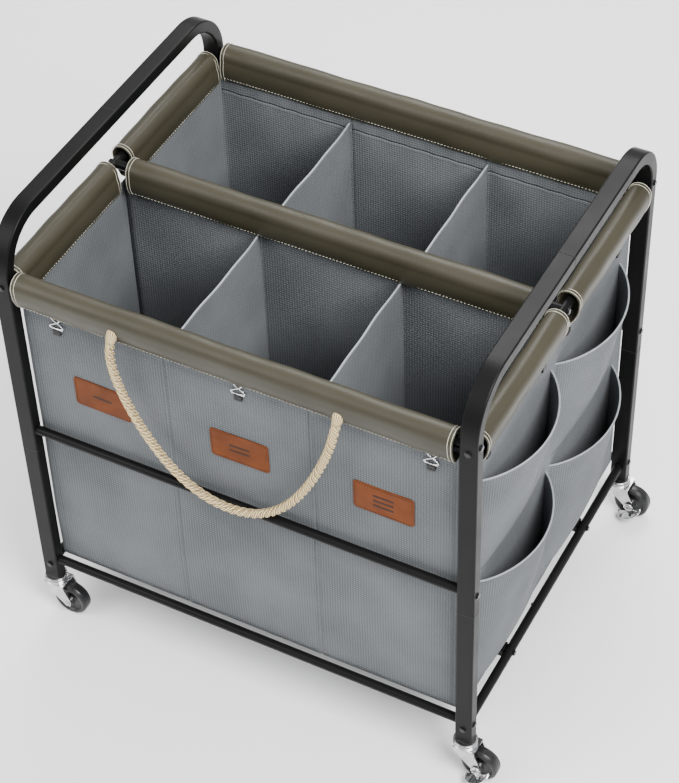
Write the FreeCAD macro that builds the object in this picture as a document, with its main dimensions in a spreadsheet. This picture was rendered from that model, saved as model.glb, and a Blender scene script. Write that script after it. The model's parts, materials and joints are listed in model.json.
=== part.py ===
import FreeCAD, Part
import math
import os

import Sketcher

# Laundry sorter on wheels: a tube frame of two side arches joined by round rails, a six-compartment
# fabric bag hung from the top rails by padded sleeves, and four swivel casters.
# X runs along the long front, Y from front to back, Z up. The floor is Z = 0. Every piece is placed
# from the middle of the four legs. That point stands at (LEGS_X, LEGS_Y), so that the origin is below
# the middle of the whole sorter with its casters trailing to the right.

DIMENSIONS = (
    ("frame_width", 800.0),
    ("frame_depth", 652.0),
    ("frame_height", 886.0),
    ("tube_width", 30.0),
    ("tube_depth", 22.0),
    ("tube_wall", 1.5),
    ("tube_corner", 3.0),
    ("bend_radius", 95.0),
    ("caster_height", 83.0),
    ("leg_joint_height", 410.0),
    ("joint_insert_length", 70.0),
    ("bottom_rail_height", 127.0),
    ("mid_rail_height", 454.0),
    ("top_rail_height", 783.0),
    ("rail_drop", 10.0),
    ("rail_radius", 8.0),
    ("rail_wall", 1.2),
    ("rail_insert_length", 16.0),
    ("rail_insert_depth", 4.0),
    ("splice_length", 120.0),
    ("splice_button_radius", 2.5),
    ("splice_button_height", 1.5),
    ("splice_button_place", 45.0),
    ("cross_bar_place", 155.0),
    ("cross_bar_width", 22.0),
    ("cross_bar_height", 14.0),
    ("bolt_radius", 3.0),
    ("bolt_hole_radius", 3.2),
    ("bolt_head_radius", 5.5),
    ("bolt_head_height", 3.0),
    ("socket_length", 28.0),
    ("socket_flange", 2.0),
    ("stem_radius", 4.4),
    ("stem_neck_radius", 4.0),
    ("race_radius", 20.0),
    ("race_height", 5.0),
    ("swivel_gap", 0.3),
    ("running_gap", 0.05),
    ("fork_width", 36.0),
    ("fork_wall", 2.5),
    ("fork_crown_thickness", 3.0),
    ("fork_race_height", 6.7),
    ("fork_reach", 15.0),
    ("trail", 29.0),
    ("wheel_radius", 32.5),
    ("wheel_width", 22.0),
    ("wheel_hub_radius", 9.0),
    ("wheel_tread", 8.0),
    ("wheel_dish", 4.0),
    ("axle_radius", 3.0),
    ("axle_head_radius", 5.0),
    ("axle_head_height", 2.0),
    ("pedal_thickness", 2.0),
    ("pedal_length", 50.0),
    ("pedal_gap", 0.2),
    ("pedal_flare", 20.0),
    ("pedal_fall", 14.0),
    ("pedal_tilt", 28.0),
    ("pedal_hub_radius", 9.0),
    ("fabric_thickness", 2.0),
    ("panel_inset", 13.0),
    ("bag_floor_height", 136.0),
    ("divider_top_height", 727.0),
    ("base_board_thickness", 3.0),
    ("base_board_gap", 3.0),
    ("sleeve_radius", 19.0),
    ("sleeve_lip_half", 5.0),
    ("sleeve_drop", 44.0),
    ("sleeve_slot", 12.0),
    ("sleeve_end_gap", 7.0),
    ("sleeve_corner_gap", 3.0),
    ("sleeve_middle_gap", 20.0),
    ("pocket_inset", 64.0),
    ("pocket_spacing", 14.0),
    ("pocket_depth", 58.0),
    ("pocket_foot_depth", 10.0),
    ("upper_pocket_top", 645.0),
    ("upper_pocket_bottom", 432.0),
    ("lower_pocket_top", 412.0),
    ("lower_pocket_bottom", 150.0),
    ("label_width", 104.0),
    ("label_height", 60.0),
    ("label_thickness", 2.0),
    ("label_corner", 6.0),
    ("label_level", 575.0),
    ("label_spacing", 251.0),
    ("clip_tab_width", 14.0),
    ("clip_tab_height", 14.0),
    ("clip_tab_thickness", 1.5),
    ("clip_wire_radius", 1.0),
    ("clip_wire_length", 20.0),
    ("clip_wire_spread", 12.0),
    ("clip_jaw_width", 10.0),
    ("clip_jaw_height", 20.0),
    ("clip_jaw_depth", 6.0),
    ("rope_radius", 7.0),
)

# The rope handle's route, from the middle of the front top rail, in millimetres, chosen by hand: out of the
# front sleeve, down in front of the middle rail in one uneven hanging bow, and back into the sleeve.
ROPE_ROUTE = (
    (-196.0, 4.0, -16.0),
    (-202.0, -8.0, -40.0),
    (-205.0, -15.0, -75.0),
    (-199.0, -17.5, -115.0),
    (-183.0, -18.0, -162.0),
    (-159.0, -18.0, -210.0),
    (-129.0, -18.0, -256.0),
    (-93.0, -18.0, -293.0),
    (-51.0, -18.0, -316.0),
    (-6.0, -18.0, -322.0),
    (37.0, -18.0, -312.0),
    (76.0, -18.0, -285.0),
    (109.0, -18.0, -245.0),
    (136.0, -18.0, -198.0),
    (158.0, -17.5, -149.0),
    (176.0, -15.0, -99.0),
    (188.0, -8.0, -55.0),
    (193.0, 4.0, -19.0),
)
ROPE_ARC_SHARE = 0.45

X_AXIS = FreeCAD.Vector(1, 0, 0)
Y_AXIS = FreeCAD.Vector(0, 1, 0)
Z_AXIS = FreeCAD.Vector(0, 0, 1)
NO_TURN = FreeCAD.Rotation()
ALONG_X = FreeCAD.Rotation(Y_AXIS, 90)
ALONG_Y = FreeCAD.Rotation(X_AXIS, -90)
ALONG = {"x": ALONG_X, "y": ALONG_Y, "z": NO_TURN}

LEGS = (
    ("left_front", -1, -1),
    ("left_back", -1, 1),
    ("right_front", 1, -1),
    ("right_back", 1, 1),
)
BRAKED = ("right_front", "right_back")

LEGS_X = "(Sizes.race_radius - Sizes.trail - Sizes.wheel_radius) / 2"
LEGS_Y = "(Sizes.fork_width / 2 + Sizes.pedal_gap + Sizes.pedal_flare - Sizes.race_radius) / 2"
LEG_X = "Sizes.frame_width / 2"
LEG_Y = "Sizes.frame_depth / 2"
TOP_SIDE_HEIGHT = "(Sizes.top_rail_height - Sizes.rail_drop)"
BOTTOM_SIDE_HEIGHT = "(Sizes.bottom_rail_height - Sizes.rail_drop)"
ARCH_CENTER_HEIGHT = "(Sizes.frame_height - Sizes.tube_depth / 2)"
BEND_CENTER_RADIUS = "(Sizes.bend_radius - Sizes.tube_depth / 2)"
LEG_BOTTOM = "(Sizes.caster_height + Sizes.socket_flange)"
LONG_RAIL_LENGTH = "(Sizes.frame_width - Sizes.tube_width)"
SIDE_RAIL_LENGTH = "(Sizes.frame_depth - Sizes.tube_depth)"
MIDDLE_RAIL_LENGTH = "(Sizes.frame_width - 2 * Sizes.rail_radius)"
RAIL_BORE = "(Sizes.rail_radius - Sizes.rail_wall)"
PANEL_X = "(Sizes.frame_width / 2 - Sizes.panel_inset)"
PANEL_Y = "(Sizes.frame_depth / 2 - Sizes.panel_inset)"
HALF_FABRIC = "Sizes.fabric_thickness / 2"
PANEL_BOTTOM = "(Sizes.bag_floor_height + Sizes.fabric_thickness)"
FRONT_PANEL_TOP = "(Sizes.top_rail_height - Sizes.sleeve_drop + Sizes.sleeve_slot)"
SIDE_PANEL_TOP = f"({TOP_SIDE_HEIGHT} - Sizes.sleeve_drop + Sizes.sleeve_slot)"
WHEEL_RIM = "(Sizes.wheel_radius - Sizes.wheel_tread)"
POCKET_WIDTH = "(Sizes.frame_depth / 2 - Sizes.pocket_inset)"
LABEL_OFFSETS = (-1, 0, 1)
FRONT_CLIP_PLACES = ("-0.4 * Sizes.frame_width", "0.0075 * Sizes.frame_width", "0.415 * Sizes.frame_width")
SIDE_CLIP_PLACES = ("-0.38 * Sizes.frame_depth", "-0.07 * Sizes.frame_depth",
                    "0.07 * Sizes.frame_depth", "0.38 * Sizes.frame_depth")

document = FreeCAD.newDocument("LaundrySorter")
sheet = document.addObject("Spreadsheet::Sheet", "Sizes")
nodes = []


def fill_sheet():
    """Write every driving dimension into the sheet as a named plain number."""
    for row, (alias, value) in enumerate(DIMENSIONS, start=1):
        sheet.set(f"A{row}", alias)
        sheet.set(f"B{row}", str(value))
        sheet.setAlias(f"B{row}", alias)
    document.recompute()


def measure(expression):
    """Return the number that an expression on the sheet gives."""
    return float(sheet.evalExpression(expression))


def place(item, x="0", y="0", z="0", turn=NO_TURN):
    """Place an object from the middle of the legs, with its position bound to the sheet."""
    item.Placement = FreeCAD.Placement(FreeCAD.Vector(), turn)
    item.setExpression(".Placement.Base.x", f"{LEGS_X} + ({x})")
    item.setExpression(".Placement.Base.y", f"{LEGS_Y} + ({y})")
    item.setExpression(".Placement.Base.z", f"{z}")
    return item


def keep(item, name):
    """Give a finished sub-part its node name and list it for writing."""
    item.Label = name
    nodes.append(item)
    return item


def box(name, width, depth, height, x="0", y="0", z="0"):
    """Make a box centred on (x, y, z)."""
    item = document.addObject("Part::Box", name)
    item.setExpression("Length", width)
    item.setExpression("Width", depth)
    item.setExpression("Height", height)
    return place(item, f"({x}) - ({width}) / 2", f"({y}) - ({depth}) / 2", f"({z}) - ({height}) / 2")


def cylinder(name, radius, length, axis="z", x="0", y="0", z="0"):
    """Make a cylinder along an axis, centred on (x, y, z)."""
    item = document.addObject("Part::Cylinder", name)
    item.setExpression("Radius", radius)
    item.setExpression("Height", length)
    center = {"x": x, "y": y, "z": z}
    center[axis] = f"({center[axis]}) - ({length}) / 2"
    return place(item, center["x"], center["y"], center["z"], ALONG[axis])


def cut(name, base, *tools):
    """Cut tools from a base solid."""
    item = document.addObject("Part::Cut", name)
    item.Base = base
    item.Tool = tools[0] if len(tools) == 1 else fuse(name + "_tools", *tools)
    return item


def fuse(name, *pieces):
    """Join touching solids into one."""
    item = document.addObject("Part::MultiFuse", name)
    item.Shapes = list(pieces)
    return item


def round_edges(name, base, radius, axis):
    """Round the edges of a box that run along an axis."""
    document.recompute()
    size = measure(radius)
    item = document.addObject("Part::Fillet", name)
    item.Base = base
    item.Edges = [(index, size, size) for index, edge in enumerate(base.Shape.Edges, start=1)
                  if abs(edge.tangentAt(edge.FirstParameter).dot(axis)) > 0.99]
    return item


def group(name, pieces):
    """Hold separate solids together as one node."""
    item = document.addObject("Part::Compound", name)
    item.Links = list(pieces)
    return keep(item, name)


def new_body(name):
    """Start a PartDesign body."""
    return document.addObject("PartDesign::Body", name)


def new_sketch(body, name, role, offset=None):
    """Attach a sketch to one of the body's own origin planes, moved along its normal by offset."""
    sketch = body.newObject("Sketcher::SketchObject", name)
    plane = next(item for item in body.Origin.OriginFeatures if item.Role == role)
    sketch.AttachmentSupport = (plane, [""])
    sketch.MapMode = "FlatFace"
    if offset:
        sketch.setExpression(".AttachmentOffset.Base.z", offset)
    return sketch


def pin_point(sketch, geometry, position, x, y):
    """Hold a sketch point at (x, y), two expressions on the sheet."""
    for kind, axis, expression in (("DistanceX", -2, x), ("DistanceY", -1, y)):
        if expression == "0":
            sketch.addConstraint(Sketcher.Constraint("PointOnObject", geometry, position, axis))
        else:
            index = sketch.addConstraint(Sketcher.Constraint(kind, geometry, position, measure(expression)))
            sketch.setExpression(f"Constraints[{index}]", expression)


def set_radius(sketch, geometry, radius):
    """Bind an arc's or circle's radius to the sheet."""
    index = sketch.addConstraint(Sketcher.Constraint("Radius", geometry, measure(radius)))
    sketch.setExpression(f"Constraints[{index}]", radius)


def draw_circle(sketch, radius, x="0", y="0"):
    """Draw a circle of a bound radius about (x, y)."""
    center = FreeCAD.Vector(measure(x), measure(y), 0)
    index = sketch.addGeometry(Part.Circle(center, Z_AXIS, measure(radius)))
    pin_point(sketch, index, 3, x, y)
    set_radius(sketch, index, radius)


def draw_polygon(sketch, points):
    """Draw a closed polygon through points given as pairs of expressions."""
    places = [FreeCAD.Vector(measure(x), measure(y), 0) for x, y in points]
    first = sketch.GeometryCount
    count = len(points)
    for index in range(count):
        sketch.addGeometry(Part.LineSegment(places[index], places[(index + 1) % count]))
    for index in range(count):
        after = first + (index + 1) % count
        sketch.addConstraint(Sketcher.Constraint("Coincident", first + index, 2, after, 1))
    for index, (x, y) in enumerate(points):
        pin_point(sketch, first + index, 1, x, y)


def draw_rounded_rectangle(sketch, width, height, radius, x="0", y="0"):
    """Draw a rectangle with rounded corners, centred on (x, y)."""
    left, right = f"({x}) - ({width}) / 2", f"({x}) + ({width}) / 2"
    low, high = f"({y}) - ({height}) / 2", f"({y}) + ({height}) / 2"
    x0, x1, y0, y1, r = (measure(item) for item in (left, right, low, high, radius))
    corners = ((x1 - r, y0 + r, -90), (x1 - r, y1 - r, 0), (x0 + r, y1 - r, 90), (x0 + r, y0 + r, 180))
    lines = (((x0 + r, y0), (x1 - r, y0)), ((x1, y0 + r), (x1, y1 - r)),
             ((x1 - r, y1), (x0 + r, y1)), ((x0, y1 - r), (x0, y0 + r)))
    first = sketch.GeometryCount
    for (start, end), (cx, cy, angle) in zip(lines, corners):
        sketch.addGeometry(Part.LineSegment(FreeCAD.Vector(*start, 0), FreeCAD.Vector(*end, 0)))
        circle = Part.Circle(FreeCAD.Vector(cx, cy, 0), Z_AXIS, r)
        sketch.addGeometry(Part.ArcOfCircle(circle, math.radians(angle), math.radians(angle + 90)))
    for index in range(8):
        after = first + (index + 1) % 8
        sketch.addConstraint(Sketcher.Constraint("Tangent", first + index, 2, after, 1))
    for index, kind in enumerate(("Horizontal", "Vertical", "Horizontal", "Vertical")):
        sketch.addConstraint(Sketcher.Constraint(kind, first + 2 * index))
    for index in (3, 5, 7):
        sketch.addConstraint(Sketcher.Constraint("Equal", first + 1, first + index))
    set_radius(sketch, first + 1, radius)
    for kind, geometry, expression in (("DistanceX", 6, left), ("DistanceX", 2, right),
                                       ("DistanceY", 0, low), ("DistanceY", 4, high)):
        index = sketch.addConstraint(
            Sketcher.Constraint(kind, first + geometry, 1, measure(expression)))
        sketch.setExpression(f"Constraints[{index}]", expression)


def draw_tube_section(sketch, y="0"):
    """Draw the frame tube's hollow section, centred on (0, y)."""
    draw_rounded_rectangle(sketch, "Sizes.tube_width", "Sizes.tube_depth", "Sizes.tube_corner", "0", y)
    draw_rounded_rectangle(sketch, "(Sizes.tube_width - 2 * Sizes.tube_wall)",
                           "(Sizes.tube_depth - 2 * Sizes.tube_wall)",
                           "(Sizes.tube_corner - Sizes.tube_wall)", "0", y)


def pad(body, sketch, length, both_ways=False):
    """Pad a sketch by a bound length."""
    feature = body.newObject("PartDesign::Pad", sketch.Name + "_pad")
    feature.Profile = sketch
    feature.setExpression("Length", length)
    feature.Midplane = both_ways
    sketch.Visibility = False
    return feature


def pocket_through(body, sketch):
    """Cut a sketch right through the body, both ways."""
    document.recompute()
    before = body.Shape.Volume
    feature = body.newObject("PartDesign::Pocket", sketch.Name + "_pocket")
    feature.Profile = sketch
    feature.Type = 1
    feature.Midplane = True
    document.recompute()
    if body.Shape.Volume >= before:
        raise RuntimeError(f"{feature.Name} cuts nothing")
    return feature


def revolve(body, sketch, axis_role):
    """Turn a sketch all the way round one of the body's own axes."""
    feature = body.newObject("PartDesign::Revolution", sketch.Name + "_turn")
    feature.Profile = sketch
    axis = next(item for item in body.Origin.OriginFeatures if item.Role == axis_role)
    feature.ReferenceAxis = (axis, [""])
    feature.Angle = 360
    return feature


def upper_tube(name, side, end):
    """Half of a side arch: the top run, the bend and the upper leg, with its bolt holes."""
    body = new_body(name)
    section = new_sketch(body, name + "_section", "XZ_Plane")
    draw_tube_section(section, ARCH_CENTER_HEIGHT)
    path = new_sketch(body, name + "_path", "YZ_Plane")
    draw_arch_path(path)
    sweep = body.newObject("PartDesign::AdditivePipe", name + "_sweep")
    sweep.Profile = section
    sweep.Spine = (path, [])
    cross_holes = new_sketch(body, name + "_cross_holes", "YZ_Plane")
    draw_circle(cross_holes, "Sizes.bolt_hole_radius", f"-({LEG_Y})", "Sizes.top_rail_height")
    draw_circle(cross_holes, "Sizes.bolt_hole_radius", f"-({LEG_Y})", "Sizes.mid_rail_height")
    pocket_through(body, cross_holes)
    face_holes = new_sketch(body, name + "_face_holes", "XZ_Plane")
    draw_circle(face_holes, "Sizes.bolt_hole_radius", "0", TOP_SIDE_HEIGHT)
    pocket_through(body, face_holes)
    turn = FreeCAD.Rotation(Z_AXIS, 0 if end < 0 else 180)
    place(body, f"{side} * {LEG_X}", "0", "0", turn)
    keep(body, name)


def draw_arch_path(path):
    """Draw the middle line of half an arch: along the top, round the bend and down the leg."""
    leg, top, radius, foot = (measure(item) for item in
                              (LEG_Y, ARCH_CENTER_HEIGHT, BEND_CENTER_RADIUS, "Sizes.leg_joint_height"))
    path.addGeometry(Part.LineSegment(FreeCAD.Vector(0, top, 0), FreeCAD.Vector(radius - leg, top, 0)))
    bend = Part.Circle(FreeCAD.Vector(radius - leg, top - radius, 0), Z_AXIS, radius)
    path.addGeometry(Part.ArcOfCircle(bend, math.pi / 2, math.pi))
    path.addGeometry(Part.LineSegment(FreeCAD.Vector(-leg, top - radius, 0), FreeCAD.Vector(-leg, foot, 0)))
    path.addConstraint(Sketcher.Constraint("Tangent", 0, 2, 1, 1))
    path.addConstraint(Sketcher.Constraint("Tangent", 1, 2, 2, 1))
    path.addConstraint(Sketcher.Constraint("Horizontal", 0))
    set_radius(path, 1, BEND_CENTER_RADIUS)
    pin_point(path, 0, 1, "0", ARCH_CENTER_HEIGHT)
    pin_point(path, 2, 2, f"-({LEG_Y})", "Sizes.leg_joint_height")


def lower_leg(name, side, end):
    """The lower leg, from the caster's socket up to the joint below the middle rail."""
    body = new_body(name)
    section = new_sketch(body, name + "_section", "XY_Plane")
    draw_tube_section(section)
    pad(body, section, f"Sizes.leg_joint_height - {LEG_BOTTOM}")
    cross_holes = new_sketch(body, name + "_cross_holes", "YZ_Plane")
    draw_circle(cross_holes, "Sizes.bolt_hole_radius", "0", f"Sizes.bottom_rail_height - {LEG_BOTTOM}")
    pocket_through(body, cross_holes)
    face_holes = new_sketch(body, name + "_face_holes", "XZ_Plane")
    draw_circle(face_holes, "Sizes.bolt_hole_radius", "0", f"{BOTTOM_SIDE_HEIGHT} - {LEG_BOTTOM}")
    pocket_through(body, face_holes)
    place(body, f"{side} * {LEG_X}", f"{end} * {LEG_Y}", LEG_BOTTOM)
    keep(body, name)


def joint_insert(name, x, y, z, upright):
    """A short block that plugs two frame tubes together end to end."""
    inner_width = "(Sizes.tube_width - 2 * Sizes.tube_wall)"
    inner_depth = "(Sizes.tube_depth - 2 * Sizes.tube_wall)"
    body = new_body(name)
    section = new_sketch(body, name + "_section", "XY_Plane" if upright else "XZ_Plane")
    draw_rounded_rectangle(section, inner_width, inner_depth, "(Sizes.tube_corner - Sizes.tube_wall)")
    draw_circle(section, "Sizes.tube_depth / 4")
    pad(body, section, "Sizes.joint_insert_length", both_ways=True)
    return place(body, x, y, z)


def tube_joint_inserts():
    """The six inserts: one in the middle of each arch and one in each leg."""
    pieces = [joint_insert(f"leg_insert_{corner}", f"{side} * {LEG_X}", f"{end} * {LEG_Y}",
                           "Sizes.leg_joint_height", True) for corner, side, end in LEGS]
    pieces += [joint_insert(f"arch_insert_{label}", f"{side} * {LEG_X}", "0", ARCH_CENTER_HEIGHT, False)
               for label, side in (("left", -1), ("right", 1))]
    group("tube_joint_inserts", pieces)


def round_rail(name, axis, length, x="0", y="0", z="0"):
    """A hollow round rail, centred on (x, y, z)."""
    outside = cylinder(name + "_outside", "Sizes.rail_radius", length, axis, x, y, z)
    bore = cylinder(name + "_bore", RAIL_BORE, length, axis, x, y, z)
    return cut(name, outside, bore)


def long_rails():
    """The rails along X: top front and back, the mid pair and the bottom pair."""
    for label, end in (("front", -1), ("back", 1)):
        y = f"{end} * {LEG_Y}"
        keep(round_rail(f"top_rail_{label}", "x", LONG_RAIL_LENGTH, y=y, z="Sizes.top_rail_height"),
             f"top_rail_{label}")
        keep(round_rail(f"bottom_rail_{label}", "x", LONG_RAIL_LENGTH, y=y, z="Sizes.bottom_rail_height"),
             f"bottom_rail_{label}")
    group("mid_rails", [round_rail(f"mid_rail_{label}", "x", LONG_RAIL_LENGTH, y=f"{end} * {LEG_Y}",
                                   z="Sizes.mid_rail_height") for label, end in (("front", -1), ("back", 1))])


def middle_rail():
    """The top rail between the two rows, its ends shaped to the side rails that it meets."""
    outside = cylinder("middle_outside", "Sizes.rail_radius", "Sizes.frame_width", "x", z=TOP_SIDE_HEIGHT)
    bore = cylinder("middle_bore", RAIL_BORE, "Sizes.frame_width", "x", z=TOP_SIDE_HEIGHT)
    ends = [cylinder(f"middle_saddle_{label}", "Sizes.rail_radius", "4 * Sizes.rail_radius", "y",
                     x=f"{side} * {LEG_X}", z=TOP_SIDE_HEIGHT) for label, side in (("left", -1), ("right", 1))]
    keep(cut("top_rail_middle", outside, bore, *ends), "top_rail_middle")


def side_rails():
    """The rails along Y: one at each side on top, and one in two halves at each side below."""
    for label, side in (("left", -1), ("right", 1)):
        x = f"{side} * {LEG_X}"
        rail = round_rail(f"top_rail_{label}_tube", "y", SIDE_RAIL_LENGTH, x=x, z=TOP_SIDE_HEIGHT)
        hole = cylinder(f"top_rail_{label}_hole", "Sizes.bolt_hole_radius", "4 * Sizes.rail_radius", "x",
                        x=x, z=TOP_SIDE_HEIGHT)
        keep(cut(f"top_rail_{label}", rail, hole), f"top_rail_{label}")
        halves = []
        for half, end in (("front", -1), ("back", 1)):
            tube = round_rail(f"bottom_{label}_{half}_tube", "y", f"{SIDE_RAIL_LENGTH} / 2", x=x,
                              y=f"{end} * {SIDE_RAIL_LENGTH} / 4", z=BOTTOM_SIDE_HEIGHT)
            holes = [cylinder(f"bottom_{label}_{half}_hole", "Sizes.bolt_hole_radius",
                              "4 * Sizes.rail_radius", "x", x=x, y=f"{end} * Sizes.cross_bar_place",
                              z=BOTTOM_SIDE_HEIGHT)]
            if half == "front":
                holes.append(splice_button(f"bottom_{label}_button_hole", label, side))
            halves.append(cut(f"bottom_{label}_{half}", tube, *holes))
        group(f"bottom_rail_{label}", halves)


def cross_bars():
    """Two flat tubes below the bag, between the bottom side rails."""
    length = MIDDLE_RAIL_LENGTH
    bars = []
    for label, end in (("front", -1), ("back", 1)):
        y = f"{end} * Sizes.cross_bar_place"
        outside = box(f"cross_bar_{label}_outside", length, "Sizes.cross_bar_width",
                      "Sizes.cross_bar_height", "0", y, BOTTOM_SIDE_HEIGHT)
        inside = box(f"cross_bar_{label}_inside", length, "Sizes.cross_bar_width - 2 * Sizes.rail_wall",
                     "Sizes.cross_bar_height - 2 * Sizes.rail_wall", "0", y, BOTTOM_SIDE_HEIGHT)
        bars.append(cut(f"cross_bar_{label}", outside, inside))
    group("cross_bars", bars)


def fastenings():
    """List each bolt: its name, axis, outward sign, rail end, seat of the head, and cross place."""
    rows = []
    for corner, side, end in LEGS:
        for level, z in (("top", "Sizes.top_rail_height"), ("mid", "Sizes.mid_rail_height"),
                         ("bottom", "Sizes.bottom_rail_height")):
            rows.append((f"{corner}_{level}_cross", "x", side, f"{LONG_RAIL_LENGTH} / 2",
                         f"({LEG_X} + Sizes.tube_width / 2)", f"{end} * {LEG_Y}", z, "round"))
        for level, z in (("top", TOP_SIDE_HEIGHT), ("bottom", BOTTOM_SIDE_HEIGHT)):
            rows.append((f"{corner}_{level}_side", "y", end, f"{SIDE_RAIL_LENGTH} / 2",
                         f"({LEG_Y} + Sizes.tube_depth / 2)", f"{side} * {LEG_X}", z, "round"))
    for label, side in (("left", -1), ("right", 1)):
        seat = f"({LEG_X} + Sizes.rail_radius)"
        rows.append((f"middle_{label}", "x", side, f"{MIDDLE_RAIL_LENGTH} / 2", seat, "0",
                     TOP_SIDE_HEIGHT, "round"))
        for bar, end in (("front", -1), ("back", 1)):
            rows.append((f"bar_{bar}_{label}", "x", side, f"{MIDDLE_RAIL_LENGTH} / 2", seat,
                         f"{end} * Sizes.cross_bar_place", BOTTOM_SIDE_HEIGHT, "flat"))
    return rows


def bolt(row):
    """A button-head bolt through a leg or side rail into the insert in a rail's end."""
    name, axis, sign, rail_end, seat, across, z, _ = row
    tip = f"({rail_end} - Sizes.rail_insert_depth - Sizes.rail_insert_length)"
    rim = "Sizes.bolt_head_height / 2"
    pieces = []
    for label, radius, start, stop in (
            ("shank", "Sizes.bolt_radius", tip, seat),
            ("rim", "Sizes.bolt_head_radius", seat, f"({seat} + {rim})"),
            ("crown", "Sizes.bolt_head_radius - 1.2", f"({seat} + {rim})", f"({seat} + 2 * {rim})")):
        middle = f"{sign} * ({start} + {stop}) / 2"
        x, y = (middle, across) if axis == "x" else (across, middle)
        pieces.append(cylinder(f"bolt_{name}_{label}", radius, f"{stop} - {start}", axis, x, y, z))
    return fuse(f"bolt_{name}", *pieces)


def rail_insert(row):
    """The threaded plug in a rail's end that its bolt pulls on."""
    name, axis, sign, rail_end, _, across, z, shape = row
    middle = f"{sign} * ({rail_end} - Sizes.rail_insert_depth - Sizes.rail_insert_length / 2)"
    x, y = (middle, across) if axis == "x" else (across, middle)
    length = "Sizes.rail_insert_length"
    if shape == "round":
        outside = cylinder(f"insert_{name}_outside", RAIL_BORE, length, axis, x, y, z)
    else:
        outside = box(f"insert_{name}_outside", length, "Sizes.cross_bar_width - 2 * Sizes.rail_wall",
                      "Sizes.cross_bar_height - 2 * Sizes.rail_wall", x, y, z)
    bore = cylinder(f"insert_{name}_bore", "Sizes.bolt_radius", length, axis, x, y, z)
    return cut(f"insert_{name}", outside, bore)


def splice_button(name, label, side):
    """The snap button of a splice, which stands out through the rail's inner side."""
    reach = "(Sizes.rail_radius + Sizes.splice_button_height)"
    return cylinder(name, "Sizes.splice_button_radius", reach, "x",
                    x=f"{side} * ({LEG_X} - {reach} / 2)", y="-Sizes.splice_button_place",
                    z=BOTTOM_SIDE_HEIGHT)


def rail_splice(label, side):
    """The plug that joins the two halves of a bottom side rail, with its snap button."""
    plug = cylinder(f"splice_{label}_plug", RAIL_BORE, "Sizes.splice_length", "y",
                    x=f"{side} * {LEG_X}", z=BOTTOM_SIDE_HEIGHT)
    return fuse(f"splice_{label}", plug, splice_button(f"splice_{label}_button", label, side))


def fasteners():
    """All the bolts in one node, and the inserts and splices inside the rails in another."""
    rows = fastenings()
    group("frame_bolts", [bolt(row) for row in rows])
    group("rail_inserts", [rail_insert(row) for row in rows]
          + [rail_splice(label, side) for label, side in (("left", -1), ("right", 1))])


def caster_socket(corner, side, end):
    """The plastic socket in a leg's foot that holds the caster's stem."""
    x, y = f"{side} * {LEG_X}", f"{end} * {LEG_Y}"
    plug = box(f"socket_{corner}_plug", "Sizes.tube_width - 2 * Sizes.tube_wall",
               "Sizes.tube_depth - 2 * Sizes.tube_wall", "Sizes.socket_length", x, y,
               f"{LEG_BOTTOM} + Sizes.socket_length / 2")
    rounded = round_edges(f"socket_{corner}_rounded", plug, "Sizes.tube_corner - Sizes.tube_wall", Z_AXIS)
    flange = box(f"socket_{corner}_flange", "Sizes.tube_width", "Sizes.tube_depth", "Sizes.socket_flange",
                 x, y, "Sizes.caster_height + Sizes.socket_flange / 2")
    bore = cylinder(f"socket_{corner}_bore", "Sizes.stem_radius",
                    "2 * (Sizes.socket_length + Sizes.socket_flange)", "z", x, y, "Sizes.caster_height")
    return cut(f"socket_{corner}", fuse(f"socket_{corner}_blank", rounded, flange), bore)


def caster_stem(corner, side, end):
    """The stem with its upper race, and below it the neck and the head that carry the fork."""
    body = new_body(f"stem_{corner}")
    profile = new_sketch(body, f"stem_{corner}_profile", "XZ_Plane")
    top = "Sizes.socket_length"
    race = "-Sizes.race_height"
    neck = f"({race} - Sizes.swivel_gap - Sizes.fork_race_height - Sizes.fork_crown_thickness - Sizes.swivel_gap)"
    head = f"({neck} - 3)"
    head_radius = "Sizes.stem_neck_radius + 3"
    draw_polygon(profile, (
        ("0", head), (head_radius, head), (head_radius, neck), ("Sizes.stem_neck_radius", neck),
        ("Sizes.stem_neck_radius", race), ("Sizes.race_radius - 2", race), ("Sizes.race_radius", f"{race} / 2"),
        ("Sizes.race_radius - 2", "-0.2"), ("Sizes.stem_radius", "-0.2"), ("Sizes.stem_radius", top),
        ("0", top)))
    revolve(body, profile, "Z_Axis")
    return place(body, f"{side} * {LEG_X}", f"{end} * {LEG_Y}", "Sizes.caster_height")


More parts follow.
